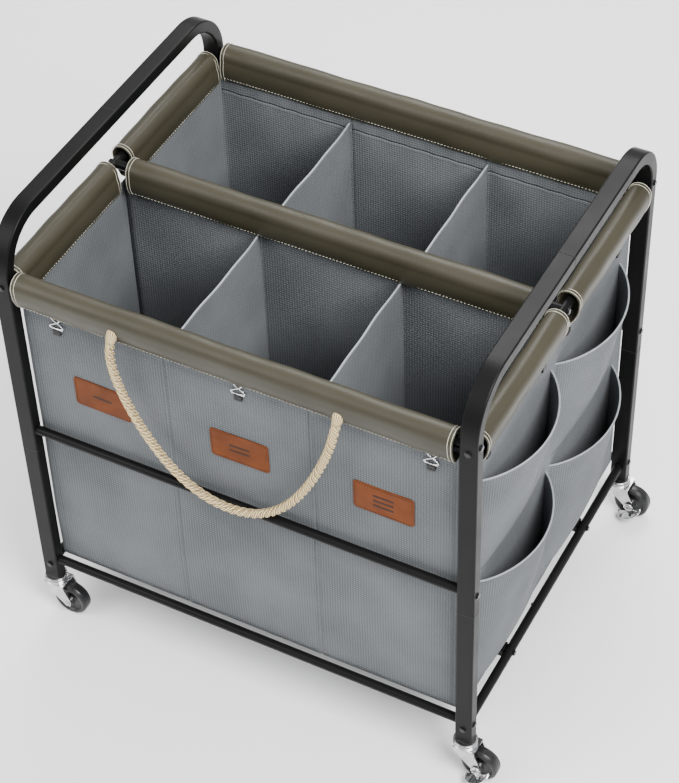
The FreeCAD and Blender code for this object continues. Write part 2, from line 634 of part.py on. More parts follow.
def caster_fork(corner, side, end):
    """The swivel fork: a lower race and crown over two cheeks that slope back to the axle."""
    name = f"caster_fork_{corner}"
    body = new_body(name)
    crown_top = "-(Sizes.race_height + Sizes.swivel_gap + Sizes.fork_race_height)"
    crown_bottom = f"({crown_top} - Sizes.fork_crown_thickness)"
    axle = "-(Sizes.caster_height - Sizes.wheel_radius)"
    outline = new_sketch(body, name + "_outline", "XZ_Plane")
    draw_polygon(outline, (
        ("-Sizes.fork_reach", crown_top), ("Sizes.fork_reach + 9", crown_top),
        ("Sizes.fork_reach + 9", f"{crown_bottom} - 3"), ("Sizes.trail + 8", f"{axle} + 4"),
        ("Sizes.trail + 5", f"{axle} - 7"), ("Sizes.trail - 5", f"{axle} - 7"),
        ("-Sizes.fork_reach", f"{crown_bottom} - 5")))
    pad(body, outline, "Sizes.fork_width", both_ways=True)
    slot = new_sketch(body, name + "_slot", "YZ_Plane")
    half = "(Sizes.fork_width / 2 - Sizes.fork_wall)"
    draw_polygon(slot, ((f"-{half}", crown_bottom), (half, crown_bottom),
                        (half, "-Sizes.caster_height"), (f"-{half}", "-Sizes.caster_height")))
    pocket_through(body, slot)
    race = new_sketch(body, name + "_race", "XY_Plane", f"{crown_top} - 1")
    draw_circle(race, "Sizes.race_radius")
    pad(body, race, "Sizes.fork_race_height + 1")
    neck_hole = new_sketch(body, name + "_neck_hole", "XY_Plane")
    draw_circle(neck_hole, "Sizes.stem_neck_radius + Sizes.running_gap")
    pocket_through(body, neck_hole)
    axle_hole = new_sketch(body, name + "_axle_hole", "XZ_Plane")
    draw_circle(axle_hole, "Sizes.axle_radius", "Sizes.trail", axle)
    pocket_through(body, axle_hole)
    place(body, f"{side} * {LEG_X}", f"{end} * {LEG_Y}", "Sizes.caster_height")
    keep(body, name)


def caster_wheel(corner, side, end):
    """The wheel: a rounded tread, dished sides and a long hub that fills the fork."""
    name = f"caster_wheel_{corner}"
    body = new_body(name)
    profile = new_sketch(body, name + "_profile", "XY_Plane")
    hub = "(Sizes.fork_width / 2 - Sizes.fork_wall - Sizes.swivel_gap)"
    half = "Sizes.wheel_width / 2"
    bore = "Sizes.axle_radius + Sizes.running_gap"
    right = ((bore, hub), ("Sizes.wheel_hub_radius", hub), ("Sizes.wheel_hub_radius", f"{half} - Sizes.wheel_dish"),
             (WHEEL_RIM, f"{half} - Sizes.wheel_dish"), (f"{WHEEL_RIM} + 1", half),
             ("Sizes.wheel_radius - 3", half), ("Sizes.wheel_radius - 0.8", f"{half} - 2.5"),
             ("Sizes.wheel_radius", f"{half} - 6"))
    left = tuple((x, f"-({y})") for x, y in reversed(right))
    draw_polygon(profile, right + left)
    revolve(body, profile, "Y_Axis")
    place(body, f"{side} * {LEG_X} + Sizes.trail", f"{end} * {LEG_Y}", "Sizes.wheel_radius")
    keep(body, name)


def caster_axle(corner, side, end):
    """The axle, headed outside both cheeks, and longer at the front where it also holds a pedal."""
    x = f"{side} * {LEG_X} + Sizes.trail"
    z = "Sizes.wheel_radius"
    back = "Sizes.fork_width / 2"
    front = f"({back} + Sizes.pedal_thickness + 2 * Sizes.pedal_gap)" if corner in BRAKED else back
    middle = f"{end} * {LEG_Y}"
    shaft = cylinder(f"axle_{corner}_shaft", "Sizes.axle_radius", f"{front} + {back}", "y", x,
                     f"{middle} + ({back} - {front}) / 2", z)
    heads = [cylinder(f"axle_{corner}_head_{label}", "Sizes.axle_head_radius", "Sizes.axle_head_height", "y", x,
                      f"{middle} + {sign} * ({reach} + Sizes.axle_head_height / 2)", z)
             for label, sign, reach in (("front", -1, front), ("back", 1, back))]
    keep(fuse(f"caster_axle_{corner}", shaft, *heads), f"caster_axle_{corner}")


def brake_pedal(corner, side, end):
    """The foot brake: a ring on the axle outside the front cheek, flared into a tilted wing below."""
    name = f"brake_pedal_{corner}"
    body = new_body(name)
    hub = new_sketch(body, name + "_hub", "XZ_Plane")
    draw_circle(hub, "Sizes.pedal_hub_radius")
    pad(body, hub, "Sizes.pedal_thickness")
    wing = new_sketch(body, name + "_wing", "YZ_Plane")
    inner, outer = "0", "-Sizes.pedal_thickness"
    draw_polygon(wing, (
        (inner, "-1"), (inner, "-Sizes.axle_head_radius - 3.5"), ("-Sizes.pedal_flare", "-Sizes.pedal_fall"),
        ("-Sizes.pedal_flare", "-Sizes.pedal_fall + Sizes.pedal_thickness"),
        (outer, "-Sizes.axle_head_radius - 1"), (outer, "-1")))
    pad(body, wing, "Sizes.pedal_length", both_ways=True)
    trim = new_sketch(body, name + "_trim", "XZ_Plane")
    reach = "Sizes.pedal_length / 2"
    for sign in ("", "-"):
        draw_polygon(trim, ((f"{sign}Sizes.pedal_hub_radius", "2"), (f"{sign}({reach} + 2)", "2"),
                            (f"{sign}({reach} + 2)", "-Sizes.pedal_fall + 4"),
                            (f"{sign}({reach} - 6)", "-Sizes.pedal_fall + 6"),
                            (f"{sign}Sizes.pedal_hub_radius", "-5")))
    pocket_through(body, trim)
    bore = new_sketch(body, name + "_bore", "XZ_Plane")
    draw_circle(bore, "Sizes.axle_radius + Sizes.running_gap")
    pocket_through(body, bore)
    place(body, f"{side} * {LEG_X} + Sizes.trail",
          f"{end} * {LEG_Y} - Sizes.fork_width / 2 - Sizes.pedal_gap", "Sizes.wheel_radius",
          FreeCAD.Rotation(Y_AXIS, -measure("Sizes.pedal_tilt")))
    keep(body, name)


def casters():
    """The four casters, and the stems that hold them to the legs."""
    group("caster_sockets", [caster_socket(*leg) for leg in LEGS])
    group("caster_stems", [caster_stem(*leg) for leg in LEGS])
    for leg in LEGS:
        caster_fork(*leg)
        caster_wheel(*leg)
        caster_axle(*leg)
        if leg[0] in BRAKED:
            brake_pedal(*leg)


def bag_panels():
    """The bag's floor, its four walls, the wall between the rows and the walls across each row."""
    outer_width = f"2 * {PANEL_X} + Sizes.fabric_thickness"
    inner_width = f"2 * {PANEL_X} - Sizes.fabric_thickness"
    outer_depth = f"2 * {PANEL_Y} + Sizes.fabric_thickness"
    inner_depth = f"2 * {PANEL_Y} - Sizes.fabric_thickness"
    keep(box("bag_floor", outer_width, outer_depth, "Sizes.fabric_thickness",
             z=f"Sizes.bag_floor_height + {HALF_FABRIC}"), "bag_floor")
    for label, end in (("front", -1), ("back", 1)):
        keep(wall_panel(f"bag_{label}_panel", outer_width, "Sizes.fabric_thickness", FRONT_PANEL_TOP,
                        y=f"{end} * {PANEL_Y}"), f"bag_{label}_panel")
    for label, side in (("left", -1), ("right", 1)):
        keep(wall_panel(f"bag_{label}_panel", "Sizes.fabric_thickness", inner_depth, SIDE_PANEL_TOP,
                        x=f"{side} * {PANEL_X}"), f"bag_{label}_panel")
    keep(wall_panel("bag_middle_divider", inner_width, "Sizes.fabric_thickness", SIDE_PANEL_TOP),
         "bag_middle_divider")
    length = f"({inner_depth} - Sizes.fabric_thickness) / 2"
    dividers = []
    for row, end in (("front", -1), ("back", 1)):
        for column, side in (("left", -1), ("right", 1)):
            dividers.append(wall_panel(f"divider_{row}_{column}", "Sizes.fabric_thickness", length,
                                       "Sizes.divider_top_height", x=f"{side} * {PANEL_X} / 3",
                                       y=f"{end} * ({length} + Sizes.fabric_thickness) / 2"))
    group("bag_cross_dividers", dividers)


def wall_panel(name, width, depth, top, x="0", y="0"):
    """An upright sheet of fabric that stands on the bag's floor."""
    return box(name, width, depth, f"{top} - {PANEL_BOTTOM}", x, y, f"({top} + {PANEL_BOTTOM}) / 2")


def base_boards():
    """A stiff board on the floor of each compartment."""
    column = f"(2 * {PANEL_X} / 3)"
    gap = "(2 * Sizes.base_board_gap + Sizes.fabric_thickness)"
    boards = []
    for row, end in (("front", -1), ("back", 1)):
        for place_number in (-1, 0, 1):
            boards.append(box(f"base_board_{row}_{place_number + 2}", f"{column} - {gap}", f"{PANEL_Y} - {gap}",
                              "Sizes.base_board_thickness", f"{place_number} * {column}",
                              f"{end} * {PANEL_Y} / 2", f"{PANEL_BOTTOM} + Sizes.base_board_thickness / 2"))
    group("base_boards", boards)


def sleeve(name, length, lip_inset, x, y, z, turn):
    """A padded sleeve round a rail, drawn in at its lower edge round the top of a panel."""
    body = new_body(name)
    profile = new_sketch(body, name + "_profile", "YZ_Plane")
    draw_sleeve_outline(profile, lip_inset)
    draw_circle(profile, "Sizes.rail_radius")
    pad(body, profile, length, both_ways=True)
    place(body, x, y, z, FreeCAD.Rotation(Z_AXIS, turn))
    keep(body, name)


def draw_sleeve_outline(profile, lip_inset):
    """Draw the drop outline: an arc over the rail, two tangents to the lip, and the panel's slot."""
    radius = measure("Sizes.sleeve_radius")
    low, slot_top = "-Sizes.sleeve_drop", "-Sizes.sleeve_drop + Sizes.sleeve_slot"
    lip = (f"-({lip_inset}) - Sizes.sleeve_lip_half", f"-({lip_inset}) - {HALF_FABRIC}",
           f"-({lip_inset}) + {HALF_FABRIC}", f"-({lip_inset}) + Sizes.sleeve_lip_half")
    inner, outer = (tangent_point(measure(lip[index]), measure(low), radius, sign)
                    for index, sign in ((0, -1), (3, 1)))
    start, stop = (math.atan2(point.y, point.x) for point in (outer, inner))
    circle = Part.Circle(FreeCAD.Vector(), Z_AXIS, radius)
    profile.addGeometry(Part.ArcOfCircle(circle, start, stop + (2 * math.pi if stop < start else 0)))
    corners = ((lip[0], low), (lip[1], low), (lip[1], slot_top), (lip[2], slot_top), (lip[2], low), (lip[3], low))
    places = [inner] + [FreeCAD.Vector(measure(a), measure(b), 0) for a, b in corners] + [outer]
    for index in range(len(places) - 1):
        profile.addGeometry(Part.LineSegment(places[index], places[index + 1]))
    profile.addConstraint(Sketcher.Constraint("Coincident", 0, 3, -1, 1))
    set_radius(profile, 0, "Sizes.sleeve_radius")
    profile.addConstraint(Sketcher.Constraint("Tangent", 0, 2, 1, 1))
    for index in range(1, 7):
        profile.addConstraint(Sketcher.Constraint("Coincident", index, 2, index + 1, 1))
    profile.addConstraint(Sketcher.Constraint("Tangent", 7, 2, 0, 1))
    for index, (a, b) in enumerate(corners, start=1):
        pin_point(profile, index, 2, a, b)


def tangent_point(x, y, radius, sign):
    """Where a line from (x, y) touches a circle about the origin, on the side given by sign."""
    distance = math.hypot(x, y)
    angle = math.atan2(y, x) + sign * math.acos(radius / distance)
    return FreeCAD.Vector(radius * math.cos(angle), radius * math.sin(angle), 0)


def sleeves():
    """The seven sleeves: three along the long rails and two at each side, parted in the middle."""
    inset = "Sizes.panel_inset"
    long_length = f"2 * ({LEG_X} - Sizes.sleeve_radius - Sizes.sleeve_corner_gap)"
    sleeve("sleeve_front", long_length, inset, "0", f"-({LEG_Y})", "Sizes.top_rail_height", 180)
    sleeve("sleeve_back", long_length, inset, "0", LEG_Y, "Sizes.top_rail_height", 0)
    sleeve("sleeve_middle", f"{long_length} - 2 * Sizes.rail_radius", "0", "0", "0", TOP_SIDE_HEIGHT, 0)
    side_end = f"({SIDE_RAIL_LENGTH} / 2 - Sizes.sleeve_end_gap)"
    side_length = f"{side_end} - Sizes.sleeve_middle_gap"
    for label, side, turn in (("left", -1, 90), ("right", 1, -90)):
        for row, end in (("front", -1), ("back", 1)):
            middle = f"{end} * ({side_end} + Sizes.sleeve_middle_gap) / 2"
            sleeve(f"sleeve_{label}_{row}", side_length, inset, f"{side} * {LEG_X}", middle,
                   TOP_SIDE_HEIGHT, turn)


def draw_bow(sketch, width, depth):
    """Draw a flat bow: a chord along Y and an arc that stands out from it along X."""
    half, rise = measure(width) / 2, measure(depth)
    radius = f"(({width}) * ({width}) / 4 + ({depth}) * ({depth})) / (2 * ({depth}))"
    circle_radius = measure(radius)
    reach = math.asin(half / circle_radius)
    circle = Part.Circle(FreeCAD.Vector(rise - circle_radius, 0, 0), Z_AXIS, circle_radius)
    sketch.addGeometry(Part.ArcOfCircle(circle, -reach, reach))
    sketch.addGeometry(Part.LineSegment(FreeCAD.Vector(0, half, 0), FreeCAD.Vector(0, -half, 0)))
    sketch.addConstraint(Sketcher.Constraint("Coincident", 0, 2, 1, 1))
    sketch.addConstraint(Sketcher.Constraint("Coincident", 1, 2, 0, 1))
    pin_point(sketch, 1, 1, "0", f"({width}) / 2")
    pin_point(sketch, 1, 2, "0", f"-({width}) / 2")
    set_radius(sketch, 0, radius)


def pocket_shell(name, top, bottom, end):
    """A side pocket: a bowed sheet, deep at the rim and shallow at the foot, open at the top."""
    body = new_body(name)
    wall = "Sizes.fabric_thickness"
    height = f"({top} - {bottom})"
    layers = (("Additive", POCKET_WIDTH, "Sizes.pocket_depth", "Sizes.pocket_foot_depth", "0", height),
              ("Subtractive", f"{POCKET_WIDTH} - 4 * {wall}", f"Sizes.pocket_depth - {wall}",
               f"Sizes.pocket_foot_depth - {wall}", wall, height))
    for kind, width, depth, foot_depth, low, high in layers:
        foot = new_sketch(body, f"{name}_{kind}_foot", "XY_Plane", low)
        draw_bow(foot, width, foot_depth)
        rim = new_sketch(body, f"{name}_{kind}_rim", "XY_Plane", high)
        draw_bow(rim, width, depth)
        loft = body.newObject(f"PartDesign::{kind}Loft", f"{name}_{kind}_loft")
        loft.Profile = foot
        loft.Sections = [rim]
        loft.Ruled = True
        document.recompute()
    middle = f"{end} * ({POCKET_WIDTH} + Sizes.pocket_spacing) / 2"
    return place(body, f"{PANEL_X} + {HALF_FABRIC}", middle, bottom)


def side_pockets():
    """Four pockets on the right wall, two above and two below."""
    for level in ("upper", "lower"):
        top, bottom = f"Sizes.{level}_pocket_top", f"Sizes.{level}_pocket_bottom"
        group(f"side_pockets_{level}", [pocket_shell(f"pocket_{level}_{row}", top, bottom, end)
                                        for row, end in (("front", -1), ("back", 1))])


def label_patches():
    """Three leather patches on the front wall, one for each compartment of the front row."""
    y = f"-({PANEL_Y} + {HALF_FABRIC} + Sizes.label_thickness / 2)"
    patches = []
    for index, number in enumerate(LABEL_OFFSETS, start=1):
        blank = box(f"label_{index}_blank", "Sizes.label_width", "Sizes.label_thickness",
                    "Sizes.label_height", f"{number} * Sizes.label_spacing", y, "Sizes.label_level")
        patches.append(round_edges(f"label_{index}", blank, "Sizes.label_corner", Y_AXIS))
    group("label_patches", patches)


def clip_places():
    """List each clip: its name, the wall's axis and sign, its place along the wall and the lip's foot."""
    rows = [(f"{label}_{index}", "y", end, spot, "Sizes.top_rail_height - Sizes.sleeve_drop")
            for label, end in (("front", -1), ("back", 1))
            for index, spot in enumerate(FRONT_CLIP_PLACES, start=1)]
    rows += [(f"{label}_{index}", "x", side, spot, f"{TOP_SIDE_HEIGHT} - Sizes.sleeve_drop")
             for label, side in (("left", -1), ("right", 1))
             for index, spot in enumerate(SIDE_CLIP_PLACES, start=1)]
    return rows


def clip_box(name, row, width, depth, height, start, z):
    """A block on a wall: start is its near face, measured out from the wall's outer face."""
    _, axis, sign, spot, _ = row
    wall = PANEL_Y if axis == "y" else PANEL_X
    out = f"{sign} * ({wall} + {HALF_FABRIC} + {start} + {depth} / 2)"
    if axis == "y":
        return box(name, width, depth, height, spot, out, z)
    return box(name, depth, width, height, out, spot, z)


def clips():
    """The clips that hold the bag's hem: a leather tab under the sleeve, a wire and a jaw."""
    tabs, wires, jaws = [], [], []
    for row in clip_places():
        name, foot = row[0], row[4]
        wire_size = "2 * Sizes.clip_wire_radius"
        tab_bottom = f"({foot} - Sizes.clip_tab_height)"
        wire_bottom = f"({tab_bottom} - Sizes.clip_wire_length)"
        tabs.append(clip_box(f"tab_{name}", row, "Sizes.clip_tab_width", "Sizes.clip_tab_thickness",
                             "Sizes.clip_tab_height", "2", f"{foot} - Sizes.clip_tab_height / 2"))
        wire_middle = f"({tab_bottom} - Sizes.clip_wire_length / 2)"
        loop = clip_box(f"wire_{name}_loop", row, "Sizes.clip_wire_spread", wire_size,
                        "Sizes.clip_wire_length", "1.75", wire_middle)
        inside = clip_box(f"wire_{name}_inside", row, f"Sizes.clip_wire_spread - 2 * {wire_size}", wire_size,
                          f"Sizes.clip_wire_length - 2 * {wire_size}", "1.75", wire_middle)
        wires.append(cut(f"wire_{name}", loop, inside))
        jaws.append(clip_box(f"jaw_{name}", row, "Sizes.clip_jaw_width", "Sizes.clip_jaw_depth",
                             "Sizes.clip_jaw_height", "0", f"{wire_bottom} - Sizes.clip_jaw_height / 2"))
    group("clip_tabs", tabs)
    group("clip_wires", wires)
    group("clip_jaws", jaws)


def rope_path(points):
    """Straight runs joined by tangent arcs, each arc as large as its two runs allow."""
    edges = []
    radii = []
    last = points[0]
    for before, corner, after in zip(points, points[1:], points[2:]):
        arriving, leaving = corner - before, after - corner
        reach = ROPE_ARC_SHARE * min(arriving.Length, leaving.Length)
        radius = reach / math.tan(arriving.getAngle(leaving) / 2)
        start = corner - arriving.normalize() * reach
        stop = corner + leaving.normalize() * reach
        inward = (start + stop) * 0.5 - corner
        middle = corner + inward.normalize() * (math.hypot(radius, reach) - radius)
        edges.append(Part.LineSegment(last, start).toShape())
        edges.append(Part.Arc(start, middle, stop).toShape())
        radii.append(radius)
        last = stop
    edges.append(Part.LineSegment(last, points[-1]).toShape())
    return Part.Wire(edges), radii


def rope_handle():
    """The rope handle: a round tube along the hanging route."""
    radius = measure("Sizes.rope_radius")
    center = FreeCAD.Vector(measure(LEGS_X), measure(f"{LEGS_Y} - {LEG_Y}"), measure("Sizes.top_rail_height"))
    points = [FreeCAD.Vector(*point) for point in ROPE_ROUTE]
    path, radii = rope_path(points)
    section = Part.Wire([Part.Circle(points[0], points[1] - points[0], radius).toShape()])
    solid = path.makePipeShell([section], True, True)
    rope = document.addObject("Part::Feature", "rope_handle")
    rope.Shape = solid
    rope.Placement = FreeCAD.Placement(center, NO_TURN)
    keep(rope, "rope_handle")
    print("rope radii", [round(item) for item in radii], "length", round(path.Length, 1),
          "volume ratio", round(solid.Volume / (math.pi * radius ** 2 * path.Length), 4))


def build():
    """Build every sub-part."""
    for corner, side, end in LEGS:
        upper_tube(f"upper_tube_{corner}", side, end)
        lower_leg(f"lower_leg_{corner}", side, end)
    tube_joint_inserts()
    long_rails()
    middle_rail()
    side_rails()
    cross_bars()
    fasteners()
    casters()
    bag_panels()
    base_boards()
    sleeves()
    side_pockets()
    label_patches()
    clips()
    rope_handle()


def check():
    """Stop if any object failed or any sub-part has no valid shape."""
    document.recompute()
    for item in document.Objects:
        if "Invalid" in item.State or "Error" in item.State:
            raise RuntimeError(f"{item.Name} failed: {item.State}")
    for item in nodes:
        if item.Shape.isNull() or not item.Shape.isValid() or not item.Shape.Solids:
            raise RuntimeError(f"{item.Label} has no valid solid")


def write():
    """Write each sub-part to its own STEP file."""
    os.makedirs("parts", exist_ok=True)
    for item in nodes:
        item.Shape.exportStep(os.path.join("parts", f"{item.Label}.step"))
    print(len(nodes), "nodes,", sum(len(item.Shape.Solids) for item in nodes), "solids")


fill_sheet()
build()
check()
write()
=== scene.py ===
"""The looks of a laundry sorter on wheels: a black tube frame, a woven bag in padded sleeves, and
casters.

Lengths are in metres. X runs along the long front, Y from front to back, Z up, and the floor is Z
= 0.
"""

import json
import logging
import math
from dataclasses import dataclass, field
from enum import Enum
from typing import Iterable, Sequence

import bmesh
import bpy
import numpy as np
from mathutils import Matrix, Vector

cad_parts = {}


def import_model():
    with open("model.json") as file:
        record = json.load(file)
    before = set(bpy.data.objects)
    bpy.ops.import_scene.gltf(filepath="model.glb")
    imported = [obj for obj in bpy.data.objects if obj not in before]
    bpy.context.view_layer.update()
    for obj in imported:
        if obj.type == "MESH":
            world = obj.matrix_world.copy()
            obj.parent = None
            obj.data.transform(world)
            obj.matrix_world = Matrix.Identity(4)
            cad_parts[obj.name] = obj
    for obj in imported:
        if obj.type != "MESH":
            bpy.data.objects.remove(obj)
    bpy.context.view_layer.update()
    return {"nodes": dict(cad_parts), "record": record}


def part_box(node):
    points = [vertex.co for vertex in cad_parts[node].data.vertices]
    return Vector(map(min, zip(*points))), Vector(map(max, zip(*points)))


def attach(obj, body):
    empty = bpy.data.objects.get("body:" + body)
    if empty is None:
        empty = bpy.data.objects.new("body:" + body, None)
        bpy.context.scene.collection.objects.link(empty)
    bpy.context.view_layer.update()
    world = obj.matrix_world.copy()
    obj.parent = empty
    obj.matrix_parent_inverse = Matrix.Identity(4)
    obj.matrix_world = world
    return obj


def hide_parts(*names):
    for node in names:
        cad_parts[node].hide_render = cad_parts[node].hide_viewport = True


LOG = logging.getLogger("laundry_sorter")
Array = np.ndarray
Triple = tuple[float, float, float]
Colour = Triple
UP = np.array([0, 0, 1.0])
AXLE_BORE = 0.00305


class Corner(Enum):
    """The four corners where a leg and its caster stand."""

    LEFT_FRONT = "left_front"
    LEFT_BACK = "left_back"
    RIGHT_FRONT = "right_front"
    RIGHT_BACK = "right_back"


class Tone(Enum):
    """How a finish lays out its colour variation."""

    BLOTCHES = "blotches"
    BRUSHED = "brushed"


# ------------------------------------------------------------------------------------------------
# Surfaces: arrays of points and faces.
# ------------------------------------------------------------------------------------------------


@dataclass
class Surface:
    """Points with their faces, and a flat (u, v) place in metres for each point."""

    points: Array
    quads: Array
    tris: Array = field(default_factory=lambda: np.zeros((0, 3), int))
    flat: Array | None = None

    def places(self) -> Array:
        """Return the flat places, or zeros where the surface has none."""
        return self.flat if self.flat is not None else np.zeros((len(self.points), 2))

    def moved(self, x: float = 0.0, y: float = 0.0, z: float = 0.0) -> "Surface":
        """Return the surface moved by (x, y, z)."""
        return Surface(self.points + np.array([x, y, z]), self.quads, self.tris, self.flat)


def joined(parts: Iterable[Surface]) -> Surface:
    """Put several surfaces into one.

    Args:
        parts: the surfaces, in order.

    Returns:
        One surface with every point and face.
    """
    parts = list(parts)
    starts = np.cumsum([0] + [len(part.points) for part in parts[:-1]])
    return Surface(np.concatenate([part.points for part in parts]),
                   np.concatenate([part.quads + start for part, start in zip(parts, starts)]),
                   np.concatenate([part.tris + start for part, start in zip(parts, starts)]),
                   np.concatenate([part.places() for part in parts]))


def grid(points: Array, flat: Array | None = None, loop_rows: bool = False,
         loop_columns: bool = False) -> Surface:
    """Join a rows x columns x 3 array of points by quads.

    Args:
        points: the points, row by row.
        flat: the rows x columns x 2 flat places, or None.
        loop_rows: whether the last row joins the first.
        loop_columns: whether the last column joins the first.

    Returns:
        The surface.
    """
    rows, columns = points.shape[:2]
    down, across = np.meshgrid(np.arange(rows if loop_rows else rows - 1),
                               np.arange(columns if loop_columns else columns - 1), indexing="ij")
    next_row, next_column = (down + 1) % rows, (across + 1) % columns
    quads = np.stack([down * columns + across, down * columns + next_column,
                      next_row * columns + next_column, next_row * columns + across],
                     axis=-1).reshape(-1, 4)
    places = None if flat is None else flat.reshape(-1, 2)
    return Surface(points.reshape(-1, 3), quads, flat=places)


def unit(vectors: Array) -> Array:
    """Return vectors scaled to length one."""
    return vectors / np.maximum(np.linalg.norm(vectors, axis=-1, keepdims=True), 1e-12)


def along(path: Array, closed: bool = False) -> Array:
    """Return the unit direction of a path at each of its points."""
    if closed:
        return unit(np.roll(path, -1, axis=0) - np.roll(path, 1, axis=0))
    return unit(np.gradient(path, axis=0))


def run_length(path: Array) -> Array:
    """Return the length run from a path's start to each of its points."""
    steps = np.linalg.norm(np.diff(path, axis=0), axis=1)
    return np.concatenate([[0.0], np.cumsum(steps)])


def stacked(*arrays: Array) -> Array:
    """Return arrays brought to one shape and set side by side along a new last axis."""
    return np.stack(np.broadcast_arrays(*arrays), axis=-1)


def resampled(values: Array, run: Array, spots: Array) -> Array:
    """Return rows of values that are given along a run, read at other spots of that run."""
    return np.stack([np.interp(spots, run, column) for column in values.T], axis=1)


def round_corners(turn: Array, pivots: tuple[float, float], reach: float) -> Array:
    """Return a round-cornered rectangle: each corner's pivot plus reach times (cos, sin)."""
    return np.stack([np.sign(np.cos(turn)) * pivots[0] + reach * np.cos(turn),
                     np.sign(np.sin(turn)) * pivots[1] + reach * np.sin(turn)], axis=1)


def poled(body: Surface, sides: int, poles: Array, flat: Array | None = None) -> Surface:
    """Close an open tube by a fan of triangles from each end ring to a pole.

    Args:
        body: the tube, ring by ring.
        sides: how many points a ring has.
        poles: the pole at the first ring and the pole at the last.
        flat: the flat places with the poles' own, or None.

    Returns:
        The closed surface.
    """
    count, around = len(body.points), np.arange(sides)
    after, last = (around + 1) % sides, count - sides
    tris = np.concatenate([np.stack([np.full(sides, count), after, around], axis=1),
                           np.stack([np.full(sides, count + 1), last + around, last + after],
                                    axis=1)])
    return Surface(np.concatenate([body.points, poles]), body.quads, tris, flat)


def tube(path: Array, radius: float | Array, reference: Sequence[float], sides: int = 8,
         closed: bool = False) -> Surface:
    """Carry a circle along a path: path + radius (cos a * side + sin a * up).

    Side is the direction crossed with the reference, and up is side crossed with the direction.

    Args:
        path: the points of the centreline.
        radius: one radius, or one at each point.
        reference: a direction that the path never runs along.
        sides: how many points go round.
        closed: whether the path is a loop. An open tube gets a pole at each end.

    Returns:
        The closed tube.
    """
    direction = along(path, closed)
    side = unit(np.cross(direction, np.asarray(reference, float)))
    up = np.cross(side, direction)
    angle = np.linspace(0, 2 * math.pi, sides, endpoint=False)
    reach = np.broadcast_to(np.asarray(radius, float), (len(path),))[:, None, None]
    ring = np.cos(angle)[None, :, None] * side[:, None] + np.sin(angle)[None, :, None] * up[:, None]
    body = grid(path[:, None] + reach * ring, loop_rows=closed, loop_columns=True)
    body.flat = stacked(run_length(path)[:, None], angle[None] * reach[:, :, 0]).reshape(-1, 2)
    if closed:
        return body
    return poled(body, sides, path[[0, -1]], np.concatenate([body.flat, body.flat[[0, -1]]]))


def lathe(profile: Array, centre: Sequence[float], axis: str, sides: int = 48,
          closed: bool = True) -> Surface:
    """Turn a profile of (radius, height) points about an axis through a centre.

    Args:
        profile: the points, as a loop when closed.
        centre: the point that the axis goes through.
        axis: "y" or "z".
        sides: how many points go round.
        closed: whether the last profile point joins the first.

    Returns:
        The turned surface.
    """
    angle = np.linspace(0, 2 * math.pi, sides, endpoint=False)[:, None]
    radius, height = profile[:, 0][None], profile[:, 1][None]
    across, level = radius * np.cos(angle), np.broadcast_to(height, (sides, len(profile)))
    turned = radius * np.sin(angle)
    points = (across, turned, level) if axis == "z" else (across, level, turned)
    return grid(np.stack(points, axis=-1) + np.asarray(centre, float), loop_rows=True,
                loop_columns=closed)


def scattered(template: Surface, origins: Array, frames: Array) -> Surface:
    """Repeat a small surface: point = origin + frame columns weighted by the template's x, y and z.

    Args:
        template: the surface to repeat.
        origins: one place for each copy.
        frames: for each copy, its three directions as rows.

    Returns:
        All copies in one surface.
    """
    count, size = len(origins), len(template.points)
    points = origins[:, None] + np.einsum("pk,nkc->npc", template.points, frames)
    shift = (np.arange(count) * size)[:, None, None]
    return Surface(points.reshape(-1, 3), (template.quads[None] + shift).reshape(-1, 4),
                   (template.tris[None] + shift).reshape(-1, 3),
                   np.tile(template.places(), (count, 1)))


def stitch(length: float, thickness: float) -> Surface:
    """Return one low stitch: a six-sided bead along its own x that tapers to a pole at both
    ends."""
    x = np.array([-0.5, -0.36, 0.0, 0.36, 0.5]) * length
    radius = np.array([0.35, 0.85, 1.0, 0.85, 0.35]) * thickness / 2
    return tube(np.stack([x, 0 * x, 0 * x], axis=1), radius, (0, 0, 1), sides=6)


def seam_of_stitches(path: Array, outward: Array, pitch: float, length: float,
                     thickness: float) -> Surface:
    """Lay stitches along a path at an even pitch, each turned along the path and flat on the
    surface.

    Args:
        path: the points that the seam follows.
        outward: the surface's direction at each of them.
        pitch: the distance from one stitch to the next.
        length: the length of a stitch.
        thickness: the thickness of the thread.

    Returns:
        The stitches.
    """
    run = run_length(path)
    count = max(1, int(run[-1] / pitch))
    spots = (np.arange(count) + 0.5) * run[-1] / count
    direction = unit(resampled(along(path), run, spots))
    side = unit(np.cross(unit(resampled(outward, run, spots)), direction))
    frames = np.stack([direction, side, np.cross(direction, side)], axis=1)
    return scattered(stitch(length, thickness), resampled(path, run, spots), frames)


